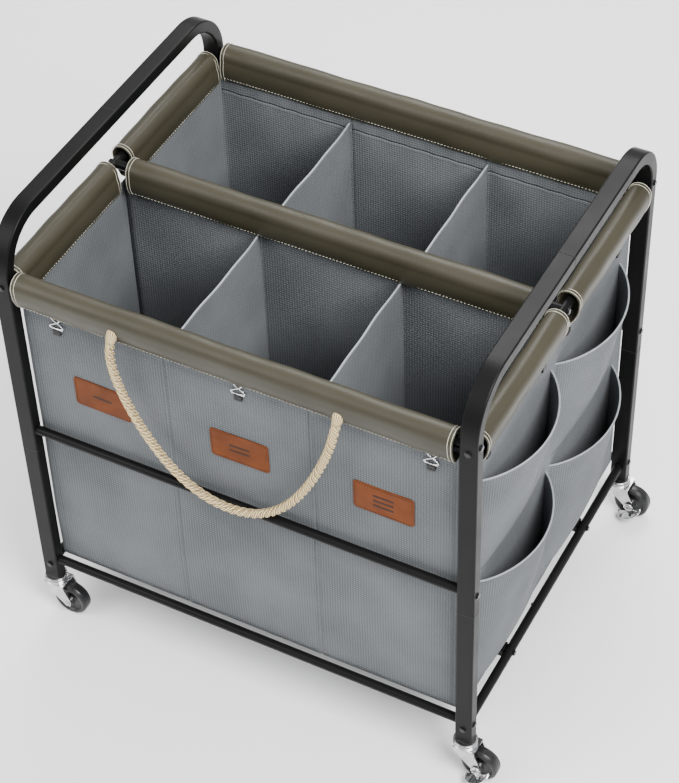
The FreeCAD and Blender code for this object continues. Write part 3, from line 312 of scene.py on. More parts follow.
def rounded_plate(width: float, height: float, corner: float, thickness: float, edge: float,
                  across: int = 40) -> Surface:
    """Return a closed plate in x and z with rolled edges, its back at y = 0 and its face at
    -thickness.

    Rings shrink from the outline to a pole: ring r has half sizes and corner scaled by the ring's
    share.

    Args:
        width: the size along x.
        height: the size along z.
        corner: the corner radius.
        thickness: how thick the plate is.
        edge: the radius of the rolled edge.
        across: points round each ring, a multiple of 4.

    Returns:
        The plate.
    """
    turn = np.linspace(0, 2 * math.pi, across * 4, endpoint=False)
    outline = round_corners(turn, (width / 2 - corner, height / 2 - corner), corner)
    insets = np.array([0.25, 0.06, 0.0, 0.0, 0.3, 1.0, 2.4, 5.0]) * edge
    depths = np.array([0.0, 0.12, 0.3, 0.7, 0.93, 1.0, 1.0, 1.0]) * thickness
    shares = 1 - insets[:, None, None] / np.array([width / 2, height / 2])
    rings = outline[None] * shares
    level = np.broadcast_to(-depths[:, None], rings.shape[:2])
    inner = np.linspace(0.75, 0.02, 7)[:, None, None] * rings[-1][None]
    under = np.array([0.6, 0.02])[:, None, None] * rings[0][None]
    flat = np.concatenate([under[::-1], rings, inner])
    depth = np.concatenate([np.zeros((2, len(turn))), level, np.full((7, len(turn)), -thickness)])
    body = grid(np.stack([flat[..., 0], depth, flat[..., 1]], axis=-1), loop_columns=True)
    return poled(body, len(turn), np.array([[0, 0, 0], [0, -thickness, 0]]))


def make(name: str, surface: Surface, material: bpy.types.Material, closed: bool = True,
         wrap: float = 0.0) -> bpy.types.Object:
    """Make a Blender object from a surface, smooth shaded, with its flat places as a UV map in
    metres.

    Args:
        name: the piece's name.
        surface: the points and faces.
        material: its finish.
        closed: whether faces are turned outwards as a closed shape.
        wrap: the flat length of one turn where u runs round a loop, or 0.

    Returns:
        The object, at the origin.
    """
    mesh = bpy.data.meshes.new(name)
    quads, tris = surface.quads, surface.tris
    corners = np.concatenate([quads.reshape(-1), tris.reshape(-1)]).astype(np.int32)
    starts = np.concatenate([np.arange(len(quads)) * 4,
                             len(quads) * 4 + np.arange(len(tris)) * 3]).astype(np.int32)
    mesh.vertices.add(len(surface.points))
    mesh.vertices.foreach_set("co", surface.points.astype(np.float32).reshape(-1))
    mesh.loops.add(len(corners))
    mesh.loops.foreach_set("vertex_index", corners)
    mesh.polygons.add(len(starts))
    mesh.polygons.foreach_set("loop_start", starts)
    mesh.update(calc_edges=True)
    mesh.polygons.foreach_set("use_smooth", np.ones(len(starts), bool))
    places = surface.places()[corners].copy()
    if wrap:
        quad_u = places[:len(quads) * 4, 0].reshape(-1, 4)
        low = quad_u < quad_u.max(axis=1, keepdims=True) - wrap / 2
        places[:len(quads) * 4, 0] = (quad_u + low * wrap).reshape(-1)
    mesh.uv_layers.new(name="flat").data.foreach_set("uv", places.astype(np.float32).reshape(-1))
    mesh.materials.append(material)
    if closed:
        work = bmesh.new()
        work.from_mesh(mesh)
        bmesh.ops.remove_doubles(work, verts=work.verts, dist=1e-6)
        bmesh.ops.recalc_face_normals(work, faces=work.faces)
        work.to_mesh(mesh)
        work.free()
    mesh.validate()
    item = bpy.data.objects.new(name, mesh)
    bpy.context.scene.collection.objects.link(item)
    LOG.info("%s: %d points", name, len(surface.points))
    return item


def thicken(item: bpy.types.Object, thickness: float) -> bpy.types.Object:
    """Give an open sheet its thickness, on the side away from its normals."""
    wall = item.modifiers.new("thickness", "SOLIDIFY")
    wall.thickness = thickness
    wall.offset = -1.0
    return item


# ------------------------------------------------------------------------------------------------
# Finishes.
# ------------------------------------------------------------------------------------------------


class Graph:
    """A material's node tree, and the steps that every finish uses."""

    def __init__(self, name: str) -> None:
        """Start a material with a principled shader."""
        self.material = bpy.data.materials.new(name)
        self.material.use_nodes = True
        self.tree = self.material.node_tree
        self.shader = self.tree.nodes["Principled BSDF"]
        self.places = self.add("ShaderNodeTexCoord")

    def add(self, kind: str, inputs: dict | None = None, **settings: object) -> bpy.types.Node:
        """Add a node.

        Args:
            kind: the node's type name.
            inputs: a value or an output socket for each named or numbered input.
            settings: properties of the node.

        Returns:
            The node.
        """
        node = self.tree.nodes.new(kind)
        for key, value in settings.items():
            setattr(node, key, value)
        for key, value in (inputs or {}).items():
            if isinstance(value, bpy.types.NodeSocket):
                self.tree.links.new(value, node.inputs[key])
            else:
                node.inputs[key].default_value = value
        return node

    def math(self, operation: str, first: object, second: object = 0.0) -> bpy.types.NodeSocket:
        """Combine two values."""
        return self.add("ShaderNodeMath", {0: first, 1: second}, operation=operation).outputs[0]

    def noise(self, size: float, detail: float = 3.0,
              stretch: Triple = (1, 1, 1)) -> bpy.types.NodeSocket:
        """Return noise whose features are about size metres across, in object space."""
        scaled = self.add("ShaderNodeMapping",
                          {"Vector": self.places.outputs["Object"], "Scale": stretch})
        return self.add("ShaderNodeTexNoise", {"Vector": scaled.outputs[0], "Scale": 1 / size,
                                               "Detail": detail}).outputs["Fac"]

    def bands(self, pitch: float, turn: float) -> bpy.types.NodeSocket:
        """Return sine bands of a pitch in metres across the flat map, turned by an angle in
        degrees."""
        turned = self.add("ShaderNodeMapping", {"Vector": self.places.outputs["UV"],
                                                "Rotation": (0, 0, math.radians(turn))})
        return self.add("ShaderNodeTexWave",
                        {"Vector": turned.outputs[0], "Scale": math.pi / 10 / pitch,
                         "Distortion": 0.0}).outputs["Fac"]

    def ramp(self, value: bpy.types.NodeSocket, low: Colour, high: Colour, start: float = 0.25,
             stop: float = 0.75) -> bpy.types.NodeSocket:
        """Turn a value into a colour between two colours."""
        node = self.add("ShaderNodeValToRGB", {"Fac": value})
        first, last = node.color_ramp.elements
        first.position, last.position = start, stop
        first.color, last.color = (*low, 1), (*high, 1)
        return node.outputs["Color"]


@dataclass(frozen=True)
class Finish:
    """A finish with blotchy colour, uneven gloss and a fine grain."""

    name: str
    dark: Colour
    light: Colour
    rough: tuple[float, float] = (0.4, 0.55)
    blotch: float = 0.12
    grain: float = 0.0015
    relief: float = 0.00004
    metal: float = 0.0
    coat: float = 0.0
    sheen: float = 0.0
    specular: float = 0.5
    tone: Tone = Tone.BLOTCHES

    def pattern(self, graph: Graph) -> tuple[bpy.types.NodeSocket, bpy.types.NodeSocket]:
        """Return the value that picks the colour, and the height of the grain."""
        stretch = (1, 1, 14) if self.tone is Tone.BRUSHED else (1, 1, 1)
        return graph.noise(self.blotch), graph.noise(self.grain, 2.0, stretch)

    def build(self) -> bpy.types.Material:
        """Make the material."""
        graph = Graph(self.name)
        shade, height = self.pattern(graph)
        bump = graph.add("ShaderNodeBump",
                         {"Height": height, "Strength": 1.0, "Distance": self.relief})
        gloss = graph.add("ShaderNodeMapRange",
                          {"Value": graph.noise(self.blotch * 0.4), "From Min": 0.3,
                           "From Max": 0.7, "To Min": self.rough[0], "To Max": self.rough[1]})
        for socket, name in ((graph.ramp(shade, self.dark, self.light), "Base Color"),
                             (gloss.outputs[0], "Roughness"), (bump.outputs[0], "Normal")):
            graph.tree.links.new(socket, graph.shader.inputs[name])
        graph.shader.inputs["Metallic"].default_value = self.metal
        graph.shader.inputs["Coat Weight"].default_value = self.coat
        graph.shader.inputs["Sheen Weight"].default_value = self.sheen
        graph.shader.inputs["Specular IOR Level"].default_value = self.specular
        return graph.material


@dataclass(frozen=True)
class WovenCloth(Finish):
    """Polyester cloth: upright and level threads whose product makes small checks, over slow
    blotches."""

    pitch: float = 0.0048
    weave: float = 0.5

    def pattern(self, graph: Graph) -> tuple[bpy.types.NodeSocket, bpy.types.NodeSocket]:
        """Return threads mixed with blotches, and the threads' height."""
        threads = graph.math("MULTIPLY", graph.bands(self.pitch, 0), graph.bands(self.pitch, 90))
        fuzz = graph.noise(0.0012, 2.0)
        height = graph.math("ADD", threads, graph.math("MULTIPLY", fuzz, 0.6))
        slow = graph.math("MULTIPLY", graph.noise(self.blotch), 1 - self.weave)
        return graph.math("ADD", graph.math("MULTIPLY", threads, self.weave),
                          graph.math("ADD", slow, graph.math("MULTIPLY", fuzz, 0.25))), height


@dataclass(frozen=True)
class Leather(Finish):
    """Leather with a pebbled grain of small cells."""

    def pattern(self, graph: Graph) -> tuple[bpy.types.NodeSocket, bpy.types.NodeSocket]:
        """Return slow blotches with a little grain, and the cells' height."""
        cells = graph.add("ShaderNodeTexVoronoi", {"Vector": graph.places.outputs["Object"],
                                                   "Scale": 1 / self.grain}).outputs["Distance"]
        shade = graph.math("ADD", graph.math("MULTIPLY", graph.noise(self.blotch), 0.85),
                           graph.math("MULTIPLY", graph.noise(0.006), 0.15))
        return shade, graph.math("ADD", cells, graph.noise(self.grain * 3))


@dataclass(frozen=True)
class TwistedFibre(Finish):
    """Cotton yarn: fine fibres that run at a slant along the flat map, with painted shade darkening
    the grooves between them.
    """

    yarn: float = 0.0016
    # groove: the weight of the dark colour along the bands, which is painted shade in the grooves
    # between fibres.
    groove: float = 0.4

    def pattern(self, graph: Graph) -> tuple[bpy.types.NodeSocket, bpy.types.NodeSocket]:
        """Return fibres with painted groove shade between them, mixed with blotches, and the
        fibres' height.
        """
        fibres = graph.bands(self.yarn, 62)
        shade = graph.math("ADD", graph.math("MULTIPLY", graph.noise(self.blotch), 1 - self.groove),
                           graph.math("MULTIPLY", fibres, self.groove))
        return shade, graph.math("ADD", fibres, graph.noise(0.0012))


class Palette:
    """Every finish of the sorter, made once."""

    def __init__(self) -> None:
        """Make the materials."""
        slate, shade = (0.060, 0.066, 0.071), (0.150, 0.161, 0.170)
        self.powder = Finish("powder_coat", (0.0035, 0.0035, 0.0036), (0.0065, 0.0063, 0.0062),
                             (0.32, 0.42), 0.2, 0.0012, 0.00002, specular=0.10).build()
        self.cloth = WovenCloth("woven_cloth", slate, shade, (0.84, 0.94), 0.16, relief=0.0006,
                                sheen=0.05, specular=0.12, weave=0.42).build()
        self.leather = Leather("sleeve_leatherette", (0.027, 0.0240, 0.0145),
                               (0.043, 0.0385, 0.0240), (0.38, 0.48), 0.2, 0.0018, 0.00005,
                               specular=0.28).build()
        self.patch = Leather("patch_leather", (0.088, 0.0225, 0.0050), (0.150, 0.0410, 0.0090),
                             (0.5, 0.62), 0.03, 0.0016, 0.00012, specular=0.12).build()
        self.mark = Leather("patch_mark", (0.018, 0.007, 0.004), (0.030, 0.012, 0.007), (0.5, 0.6),
                            0.01, specular=0.2).build()
        self.thread = TwistedFibre("pale_thread", (0.42, 0.40, 0.33), (0.58, 0.55, 0.46),
                                   (0.7, 0.8), 0.02).build()
        self.dark_thread = TwistedFibre("slate_thread", (0.045, 0.052, 0.06), (0.08, 0.09, 0.10),
                                        (0.7, 0.85), 0.02, specular=0.2).build()
        self.binding = TwistedFibre("rim_binding", (0.20, 0.215, 0.225), (0.32, 0.34, 0.355),
                                    (0.7, 0.85), 0.02, specular=0.2).build()
        # The rope's dark colour, weighted strongly by groove, is painted shade in the grooves
        # between its strands.
        self.rope = TwistedFibre("cotton_rope", (0.20, 0.125, 0.045), (0.86, 0.70, 0.40),
                                 (0.8, 0.92), 0.02, relief=0.0007, sheen=0.05, specular=0.12,
                                 yarn=0.0034, groove=0.8).build()
        self.zinc = Finish("zinc_plate", (0.40, 0.40, 0.41), (0.64, 0.64, 0.65), (0.14, 0.28),
                           0.02, 0.0009, 0.00002, metal=1.0, tone=Tone.BRUSHED).build()
        self.wire = Finish("polished_wire", (0.62, 0.62, 0.63), (0.84, 0.84, 0.84), (0.08, 0.16),
                           0.01, 0.0008, 0.00001, metal=1.0).build()
        self.wheel = Finish("wheel_plastic", (0.006, 0.006, 0.0065), (0.012, 0.012, 0.0125),
                            (0.26, 0.40), 0.02, specular=0.35).build()
        self.bolt = Finish("black_bolt", (0.012, 0.012, 0.013), (0.03, 0.03, 0.032), (0.18, 0.28),
                           0.006, 0.0009, metal=0.6).build()
        self.plastic = Finish("moulded_plastic", (0.008, 0.008, 0.0085), (0.016, 0.016, 0.017),
                              (0.4, 0.55), 0.02, specular=0.3).build()

    def by_slot(self) -> dict[str, bpy.types.Material]:
        """Return the finish of each material slot in the record."""
        return {"frame_black": self.powder, "insert_plastic": self.plastic,
                "bolt_steel": self.bolt, "bag_fabric": self.cloth, "board_fabric": self.cloth,
                "sleeve_leather": self.leather, "patch_leather": self.patch,
                "rope_cotton": self.rope, "caster_zinc": self.zinc, "wheel_black": self.wheel}


# ------------------------------------------------------------------------------------------------
# Sub-assemblies.
# ------------------------------------------------------------------------------------------------


def middle_of(node: str) -> Array:
    """Return the middle of a node's box."""
    low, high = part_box(node)
    return np.array((low + high) / 2)


def settle(item: bpy.types.Object, body: str, slot: str, *nodes: str) -> bpy.types.Object:
    """Let a piece ride on a body, and let it stand for CAD nodes."""
    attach(item, body)
    if nodes:
        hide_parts(*nodes)
    return item


@dataclass
class Frame:
    """The tube frame: its CAD tubes with their finish, and the thin dark seams where tubes meet."""

    seam_height: float = 0.0009
    seam_proud: float = 0.0003
    seam_depth: float = 0.9
    corner: float = 0.003
    half_width: float = 0.015
    half_depth: float = 0.011

    def dress(self, nodes: dict[str, bpy.types.Object], record: dict, palette: Palette) -> None:
        """Give every CAD node the finish of its slot.

        Args:
            nodes: the CAD objects by name.
            record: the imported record.
            palette: the finishes.
        """
        finishes = palette.by_slot()
        for part in record["subparts"]:
            item = nodes[part["node"]]
            if not item.material_slots:
                item.data.materials.append(finishes[part["material_slot"]])
            for material_slot in item.material_slots:
                material_slot.material = finishes[part["material_slot"]]

    def ring(self, half_depth: float) -> Array:
        """Return a collar's outline, a little proud of a tube of that half depth."""
        turn = np.linspace(0, 2 * math.pi, 40, endpoint=False)
        pivots = (self.half_width - self.corner, half_depth - self.corner)
        return round_corners(turn, pivots, self.corner + self.seam_proud)

    def build(self, palette: Palette) -> None:
        """Lay a thin collar round each leg's seam and round the seam in the middle of each arch."""
        collars = []
        for corner in Corner:
            low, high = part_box(f"lower_leg_{corner.value}")
            loop = self.ring(min((high.y - low.y) / 2, self.half_depth))
            centre = middle_of(f"lower_leg_{corner.value}")
            half = self.seam_height / 2
            rings = [np.column_stack([centre[:2] + loop * share,
                                      np.full(len(loop), high.z + shift)]) for share,
                     shift in ((1, -half), (1, half), (self.seam_depth, 0.0))]
            collars.append(grid(np.stack(rings), loop_rows=True, loop_columns=True))
        for side in ("left", "right"):
            low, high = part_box(f"upper_tube_{side}_front")
            loop = self.ring(self.half_depth)
            centre_x, centre_z = (low.x + high.x) / 2, high.z - self.half_depth
            half = self.seam_height / 2
            rings = [np.column_stack([centre_x + loop[:, 0] * share,
                                      np.full(len(loop), high.y + shift),
                                      centre_z + loop[:, 1] * share]) for share,
                     shift in ((1, -half), (1, half), (self.seam_depth, 0.0))]
            collars.append(grid(np.stack(rings), loop_rows=True, loop_columns=True))
        settle(make("tube_seam_lines", joined(collars), palette.plastic), "frame", "frame_black")


@dataclass
class Wall:
    """The bag's outer wall as a function: a rounded rectangle in plan that bulges a little between
    the rails."""

    centre: Array
    half_x: float
    half_y: float
    floor: float
    front_top: float
    side_top: float
    corner: float = 0.010
    bulge: float = 0.0022
    seam_places: tuple[float, float] = (-0.129, 0.129)
    rail: float = 0.454

    def swell(self, place: Array, height: Array, limit: float, ends: bool) -> Array:
        """Return how far a wall stands out: a half sine between the rails, less a groove at each
        seam, plus slack.

        Args:
            place: the distance along the wall from its middle.
            height: the height above the floor.
            limit: the wall's half length.
            ends: whether it is a long wall, with a rail at middle height and two seams.

        Returns:
            The distance outwards.
        """
        across = np.cos(np.clip(place / limit, -1, 1) * math.pi / 2) ** 0.6
        if ends:
            below = (height - self.floor) / (self.rail - 0.012 - self.floor)
            above = (height - self.rail - 0.012) / (self.front_top - 0.02 - self.rail)
            low, high = (np.sin(math.pi * np.clip(share, 0, 1)) for share in (below, above))
            body = self.bulge * (1.5 * low + 0.7 * high)
            groove = sum(np.exp(-((place - seam) / 0.0022) ** 2)
                         for seam in self.seam_places) * 0.0011
            slack = 0.0007 * (low + high) * np.sin(place * 41 + 2.6 * np.sin(height * 13) + 1.1)
            hem = 0.0008 * np.exp(-((height - self.front_top + 0.042) / 0.0022) ** 2)
            hem_place = (height - self.front_top + 0.03) / 0.022
            pucker = 0.0007 * np.sin(place * 150) * np.exp(-hem_place ** 2)
            return body * across + slack * across - groove - hem + pucker
        share = np.clip((height - self.floor) / (self.side_top - self.floor), 0, 1)
        body = 0.4 * self.bulge * np.sin(math.pi * share)
        return (body + 0.0004 * np.sin(place * 37 + 2 * np.sin(height * 11))) * across

    def front(self, x: Array, z: Array, proud: float = 0.0) -> Array:
        """Return points on the front wall at x from its middle and height z, standing proud by
        some distance."""
        out = self.swell(x, z, self.half_x, True) + proud
        return stacked(self.centre[0] + x, self.centre[1] - self.half_y - out, z)

    def loop(self) -> tuple[Array, Array, Array, Array]:
        """Walk round the wall in plan: four straight runs and four quarter circles.

        Returns:
            For each column: its plan point, its outward direction, its place along its wall, and
            how much that
            is a long wall (1) rather than a side (0), which is also its share of the front's
            height.
        """
        seams = np.concatenate([seam + np.array([-5, -3, -1.5, 0, 1.5, 3, 5]) / 1000
                                for seam in self.seam_places])
        long_run = np.unique(np.concatenate([np.linspace(-1, 1, 112) * (self.half_x - self.corner),
                                             seams]))
        short_run = np.linspace(-1, 1, 84) * (self.half_y - self.corner)
        points, normals, places, kinds = [], [], [], []
        for turn in range(4):
            angle = math.pi * (turn - 1) / 2
            out = np.array([math.cos(angle), math.sin(angle)])
            ahead = np.array([-out[1], out[0]])
            is_long = turn % 2 == 0
            run, reach = (long_run, self.half_y) if is_long else (short_run, self.half_x)
            points.append(out * reach + run[:, None] * ahead)
            normals.append(np.tile(out, (len(run), 1)))
            places.append(run * (1 if turn == 0 else -1) if is_long else run)
            kinds.append(np.full(len(run), float(is_long)))
            bend = angle + np.linspace(0, math.pi / 2, 8)[1:-1]
            outward = np.stack([np.cos(bend), np.sin(bend)], axis=1)
            other = self.half_x if is_long else self.half_y
            pivot = out * (reach - self.corner) + ahead * (other - self.corner)
            points.append(pivot + self.corner * outward)
            normals.append(outward)
            places.append(np.full(len(bend), other))
            kinds.append(np.linspace(1, 0, len(bend)) if is_long else np.linspace(0, 1, len(bend)))
        return tuple(np.concatenate(rows) for rows in (points, normals, places, kinds))

    def shell(self) -> Surface:
        """Loft the wall: each column rises from the floor to its own top, moved outwards by
        swell."""
        plan, outward, places, kinds = self.loop()
        tops = self.side_top + kinds * (self.front_top - self.side_top)
        rise = np.unique(np.concatenate([np.linspace(0, 1, 66),
                                         1 - np.array([0.034, 0.037, 0.04, 0.043, 0.046,
                                                       0.05]) / 0.6]))
        height = self.floor + rise[:, None] * (tops - self.floor)[None]
        swell = np.where(kinds[None] > 0.5, self.swell(places[None], height, self.half_x, True),
                         self.swell(places[None], height, self.half_y, False))
        spot = self.centre[None, None, :2] + plan[None] + outward[None] * swell[..., None]
        run = run_length(np.column_stack([plan, 0 * places]))
        flat = stacked(run[None], height)
        return grid(np.concatenate([spot, height[..., None]], axis=-1), flat, loop_columns=True)

    def around(self) -> float:
        """Return the length once round the wall."""
        return 4 * (self.half_x + self.half_y) - (8 - 2 * math.pi) * self.corner


@dataclass
class Bag:
    """The bag: one lofted wall shell, a floor, the wall between the rows and the four walls across
    them."""

    thickness: float = 0.002
    stitch_pitch: float = 0.0072
    board_gap: float = 0.008

    def wall(self) -> Wall:
        """Measure the wall from the CAD panels."""
        low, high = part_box("bag_front_panel")
        side_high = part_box("bag_right_panel")[1]
        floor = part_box("bag_floor")
        centre = np.array((floor[0] + floor[1]) / 2)
        return Wall(centre, side_high.x - centre[0], centre[1] - low.y, floor[0].z, high.z,
                    side_high.z)

    def divider(self, start: Array, stop: Array, bottom: float, top: float, dip: float,
                wave: float) -> Surface:
        """An upright sheet whose top edge dips in the middle and whose middle wanders to one side.

        Point = start + s (stop - start) + wave sin(2 pi s) t^2 sideways, with its height from
        bottom to
        top - dip sin(pi s).

        Args:
            start: where the sheet starts, in plan.
            stop: where it ends.
            bottom: the height of its foot.
            top: the height of its top edge at both ends.
            dip: how far the top edge hangs in the middle.
            wave: how far the sheet wanders to each side.

        Returns:
            The sheet.
        """
        levels = np.unique(np.concatenate([np.linspace(0, 1, 40), [0.978, 0.981, 0.985]]))
        s, t = np.linspace(0, 1, 64)[None], levels[:, None]
        run = unit(stop - start)
        side = np.array([-run[1], run[0], 0.0])
        level = bottom + t * (top - dip * np.sin(math.pi * s) - bottom)
        shift = wave * np.sin(2 * math.pi * s) * t ** 2 + 0.0006 * np.sin(s * 19 + 7 * t) * t
        points = start + s[..., None] * (stop - start) + shift[..., None] * side
        points = np.concatenate([points[..., :2], level[..., None]], axis=-1)
        length = float(np.linalg.norm(stop - start))
        return grid(points, stacked(s * length, level))

    def seams(self, wall: Wall) -> Surface:
        """Stitch the front wall: below the hem, along the bottom, beside both seams and by the
        corners."""
        x = np.linspace(-wall.half_x + 0.014, wall.half_x - 0.014, 300)
        outward = np.tile([0.0, -1.0, 0.0], (300, 1))
        lines = [wall.front(x, np.full(300, level), 0.0002)
                 for level in (wall.front_top - 0.042, wall.floor + 0.009)]
        z = np.linspace(wall.floor + 0.012, wall.front_top - 0.045, 300)
        places = [seam + shift for seam in wall.seam_places for shift in (-0.004, 0.004)]
        places += [-wall.half_x + 0.020, wall.half_x - 0.020]
        lines += [wall.front(np.full(300, place), z, 0.0002) for place in places]
        return joined([seam_of_stitches(line, outward, self.stitch_pitch, 0.0045, 0.0007)
                       for line in lines])

    def build(self, palette: Palette) -> Wall:
        """Make every cloth piece of the bag and return its wall for the pieces on it."""
        wall = self.wall()
        shell = thicken(make("bag_wall_shell", wall.shell(), palette.cloth, False, wall.around()),
                        self.thickness)
        settle(shell, "frame", "bag_fabric", "bag_front_panel", "bag_back_panel", "bag_left_panel",
               "bag_right_panel")
        stitches = settle(make("bag_seam_stitches", self.seams(wall), palette.dark_thread),
                          "frame", "bag_fabric")
        wall.around()
        self.floor(palette)
        self.dividers(palette)
        self.boards(palette)
        return wall

    def floor(self, palette: Palette) -> None:
        """Lay the floor: it sags under the boards by a product of two half sines."""
        low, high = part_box("bag_floor")
        x = np.linspace(low.x + 0.002, high.x - 0.002, 70)[None]
        y = np.linspace(low.y + 0.002, high.y - 0.002, 58)[:, None]
        across = np.sin(math.pi * (x - low.x) / (high.x - low.x))
        sag = 0.0008 * across * np.sin(math.pi * (y - low.y) / (high.y - low.y))
        sheet = grid(stacked(x, y, high.z - sag), stacked(x, y))
        cloth = thicken(make("bag_floor_cloth", sheet, palette.cloth, False), self.thickness)
        settle(cloth, "frame", "bag_fabric", "bag_floor")

    def dividers(self, palette: Palette) -> None:
        """Hang the wall between the rows, and the four walls across the rows."""
        low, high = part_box("bag_middle_divider")
        middle_y = (low.y + high.y) / 2
        row = self.divider(np.array([low.x, middle_y, 0]), np.array([high.x, middle_y, 0]), low.z,
                           high.z, 0.0, 0.0008)
        item = thicken(make("bag_row_divider", row, palette.cloth, False), self.thickness)
        settle(item, "frame", "bag_fabric", "bag_middle_divider")
        low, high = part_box("bag_cross_dividers")
        walls, hems = [], []
        for x, wave in ((low.x + 0.001, 0.0012), (high.x - 0.001, -0.0012)):
            for start, stop in ((low.y, middle_y - 0.002), (middle_y + 0.002, high.y)):
                sheet = self.divider(np.array([x, start, 0]), np.array([x, stop, 0]), low.z,
                                     high.z, 0.0025, wave)
                walls.append(sheet)
                hems.append(tube(sheet.points.reshape(-1, 64, 3)[-1], 0.0018, (0, 0, 1), 8))
        item = thicken(make("bag_cross_walls", joined(walls), palette.cloth, False), self.thickness)
        settle(item, "frame", "bag_fabric", "bag_cross_dividers")
        rims = settle(make("bag_cross_wall_hems", joined(hems), palette.binding), "frame",
                      "bag_fabric")

    def boards(self, palette: Palette) -> None:
        """Lay six cloth-covered boards with rolled edges: a rounded plate turned flat, one in each
        compartment."""
        low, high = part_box("base_boards")
        gap = self.board_gap
        width = (high.x - low.x - 2 * gap) / 3
        depth = (high.y - low.y - gap) / 2
        plate = rounded_plate(width, depth, 0.006, high.z - low.z, 0.0015)
        turned = Surface(plate.points[:, [0, 2, 1]] * np.array([1, 1, -1]), plate.quads, plate.tris,
                         plate.points[:, [0, 2]])
        boards = [turned.moved(low.x + width / 2 + column * (width + gap),
                               low.y + depth / 2 + row * (depth + gap), low.z)
                  for column in range(3) for row in range(2)]
        settle(make("bag_base_boards", joined(boards), palette.cloth), "frame", "board_fabric",
               "base_boards")


@dataclass
class Sleeve:
    """A padded sleeve: a drop-shaped profile carried along a rail, turned in at both ends round
    the rail."""

    node: str
    rail: str
    outward: tuple[float, float]
    inset: float = 0.013
    radius: float = 0.019
    drop: float = 0.044
    lip: float = 0.0050
    wall: float = 0.0032
    bore: float = 0.0083
    skirt: float = 0.014
    puff: float = 0.0035
    turn_in: float = 0.034

    def profile(self) -> Array:
        """Return the profile as a loop of (out, up) points, evenly spaced and softened.

        An arc over the rail runs into two straight sides that meet a narrow round lip, and the
        sides
        are puffed by a half sine. A short periodic average then softens the corners.
        """
        arc = np.linspace(-0.16, math.pi + 0.16, 60)
        top = self.radius * np.stack([np.cos(arc), np.sin(arc)], axis=1)
        t = np.linspace(0, 1, 24)[1:-1, None]
        inner_skirt = 0.0 if self.inset else self.skirt * 0.6
        outer_skirt = self.skirt if self.inset else self.skirt * 0.6
        inner_lip = np.array([-self.inset - self.lip - inner_skirt, -self.drop])
        outer_lip = np.array([-self.inset + self.lip + outer_skirt, -self.drop])
        puff = np.sin(math.pi * t) * self.puff * np.array([1, 0])
        inner = top[-1] + t * (inner_lip - top[-1]) - puff
        outer = outer_lip + t * (top[0] - outer_lip) + puff
        loop = np.concatenate([top, inner, [inner_lip, outer_lip], outer])
        closed = np.concatenate([loop, loop[:1]])
        run = run_length(closed)
        even = resampled(closed, run, np.linspace(0, run[-1], 96, endpoint=False))
        for _ in range(2):
            even = 0.5 * even + 0.25 * (np.roll(even, 1, axis=0) + np.roll(even, -1, axis=0))
        return even

    def frame(self) -> tuple[Array, Array, Array, float]:
        """Return the rail's middle, the sleeve's direction, its outward direction and its half
        length."""
        low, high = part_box(self.node)
        rail = middle_of(self.rail)
        out = np.array([*self.outward, 0.0])
        run = np.array([-out[1], out[0], 0.0])
        middle = np.array((low + high) / 2)
        origin = np.where(np.abs(run) > 0.5, middle, rail)
        half = float(abs(np.dot(np.array(high - low), run))) / 2
        return origin, run, out, half

    def station(self, profile: Array, along_run: Array, inward: Array) -> Array:
        """Carry the profile: each point moves inwards by its own normal, and the padding ripples
        along the run.

        Args:
            profile: the (out, up) points.
            along_run: the place of each ring along the sleeve.
            inward: how far each ring is drawn in.

        Returns:
            The (out, up) points of every ring.
        """
        ahead = along(profile, True)
        normal = np.stack([ahead[:, 1], -ahead[:, 0]], axis=1)
        if float(np.sum(normal * profile)) < 0:
            normal = -normal
        wave = np.sin(3 * np.linspace(0, 2 * math.pi, len(profile)))
        ripple = 0.0005 * np.sin(along_run * 23 + 1.3)[:, None] * wave
        fold = 0.00035 * np.sin(along_run * 61 + 2 * np.sin(along_run * 9))[:, None]
        drawn = inward[:, None] - (ripple + fold) * (inward[:, None] < 0.0005)
        return profile[None] - normal[None] * drawn[..., None]

    def surface(self) -> Surface:
        """Return the closed sleeve: out along the skin, in round the end lip, back along the
        bore."""
        origin, run, out, half = self.frame()
        profile = self.profile()
        body = np.linspace(-half + 0.004, half - 0.004, max(24, int(half / 0.004)))
        roll = np.array([0.0004, 0.0016, 0.0024, 0.0030])
        roll_place = np.array([0.0014, 0.0, 0.0006, 0.0032])
        right, left = half - roll_place, -half + roll_place[::-1]
        deep = half - self.turn_in
        spots = np.concatenate([left, body, right, [deep, deep]])
        inward = np.concatenate([roll[::-1], 0 * body, roll, [self.wall, self.wall]])
        rings = self.station(profile, spots, inward)
        angle = np.arctan2(profile[:, 1], profile[:, 0])
        hole = self.bore * np.stack([np.cos(angle), np.sin(angle)], axis=1)
        rings[-1] = hole
        spots = np.concatenate([spots, [-deep, -deep]])
        rings = np.concatenate([rings, hole[None], rings[-2][None]])
        points = (origin + spots[:, None, None] * run + rings[..., :1] * out + rings[..., 1:] * UP)
        around = run_length(np.column_stack([profile, 0 * profile[:, 0]]))
        return grid(points, stacked(around[None], spots[:, None]), loop_rows=True,
                    loop_columns=True)

    def line(self, height: float, side: int, proud: float) -> tuple[Array, Array]:
        """Trace a line along the sleeve.

        Args:
            height: how far it is above the sleeve's lower edge.
            side: 1 for the outer side, -1 for the inner.
            proud: how far it stands off the skin.

        Returns:
            The line's points, and the surface's direction at each.
        """
        origin, run, out, half = self.frame()
        profile = self.profile()
        bottom = profile[:, 1].min()
        is_side = (np.sign(profile[:, 0] + self.inset) == side) & (profile[:, 1] < -0.01)
        chosen = profile[is_side]
        spot = chosen[np.argmin(np.abs(chosen[:, 1] - bottom - height))]
        along_run = np.linspace(-half + 0.006, half - 0.006, 400)
        normal = np.array([side * 0.97, -0.24])
        path = origin + along_run[:, None] * run + (spot[0] + side * proud) * out + spot[1] * UP
        return path, np.tile(normal[0] * out + normal[1] * UP, (400, 1))

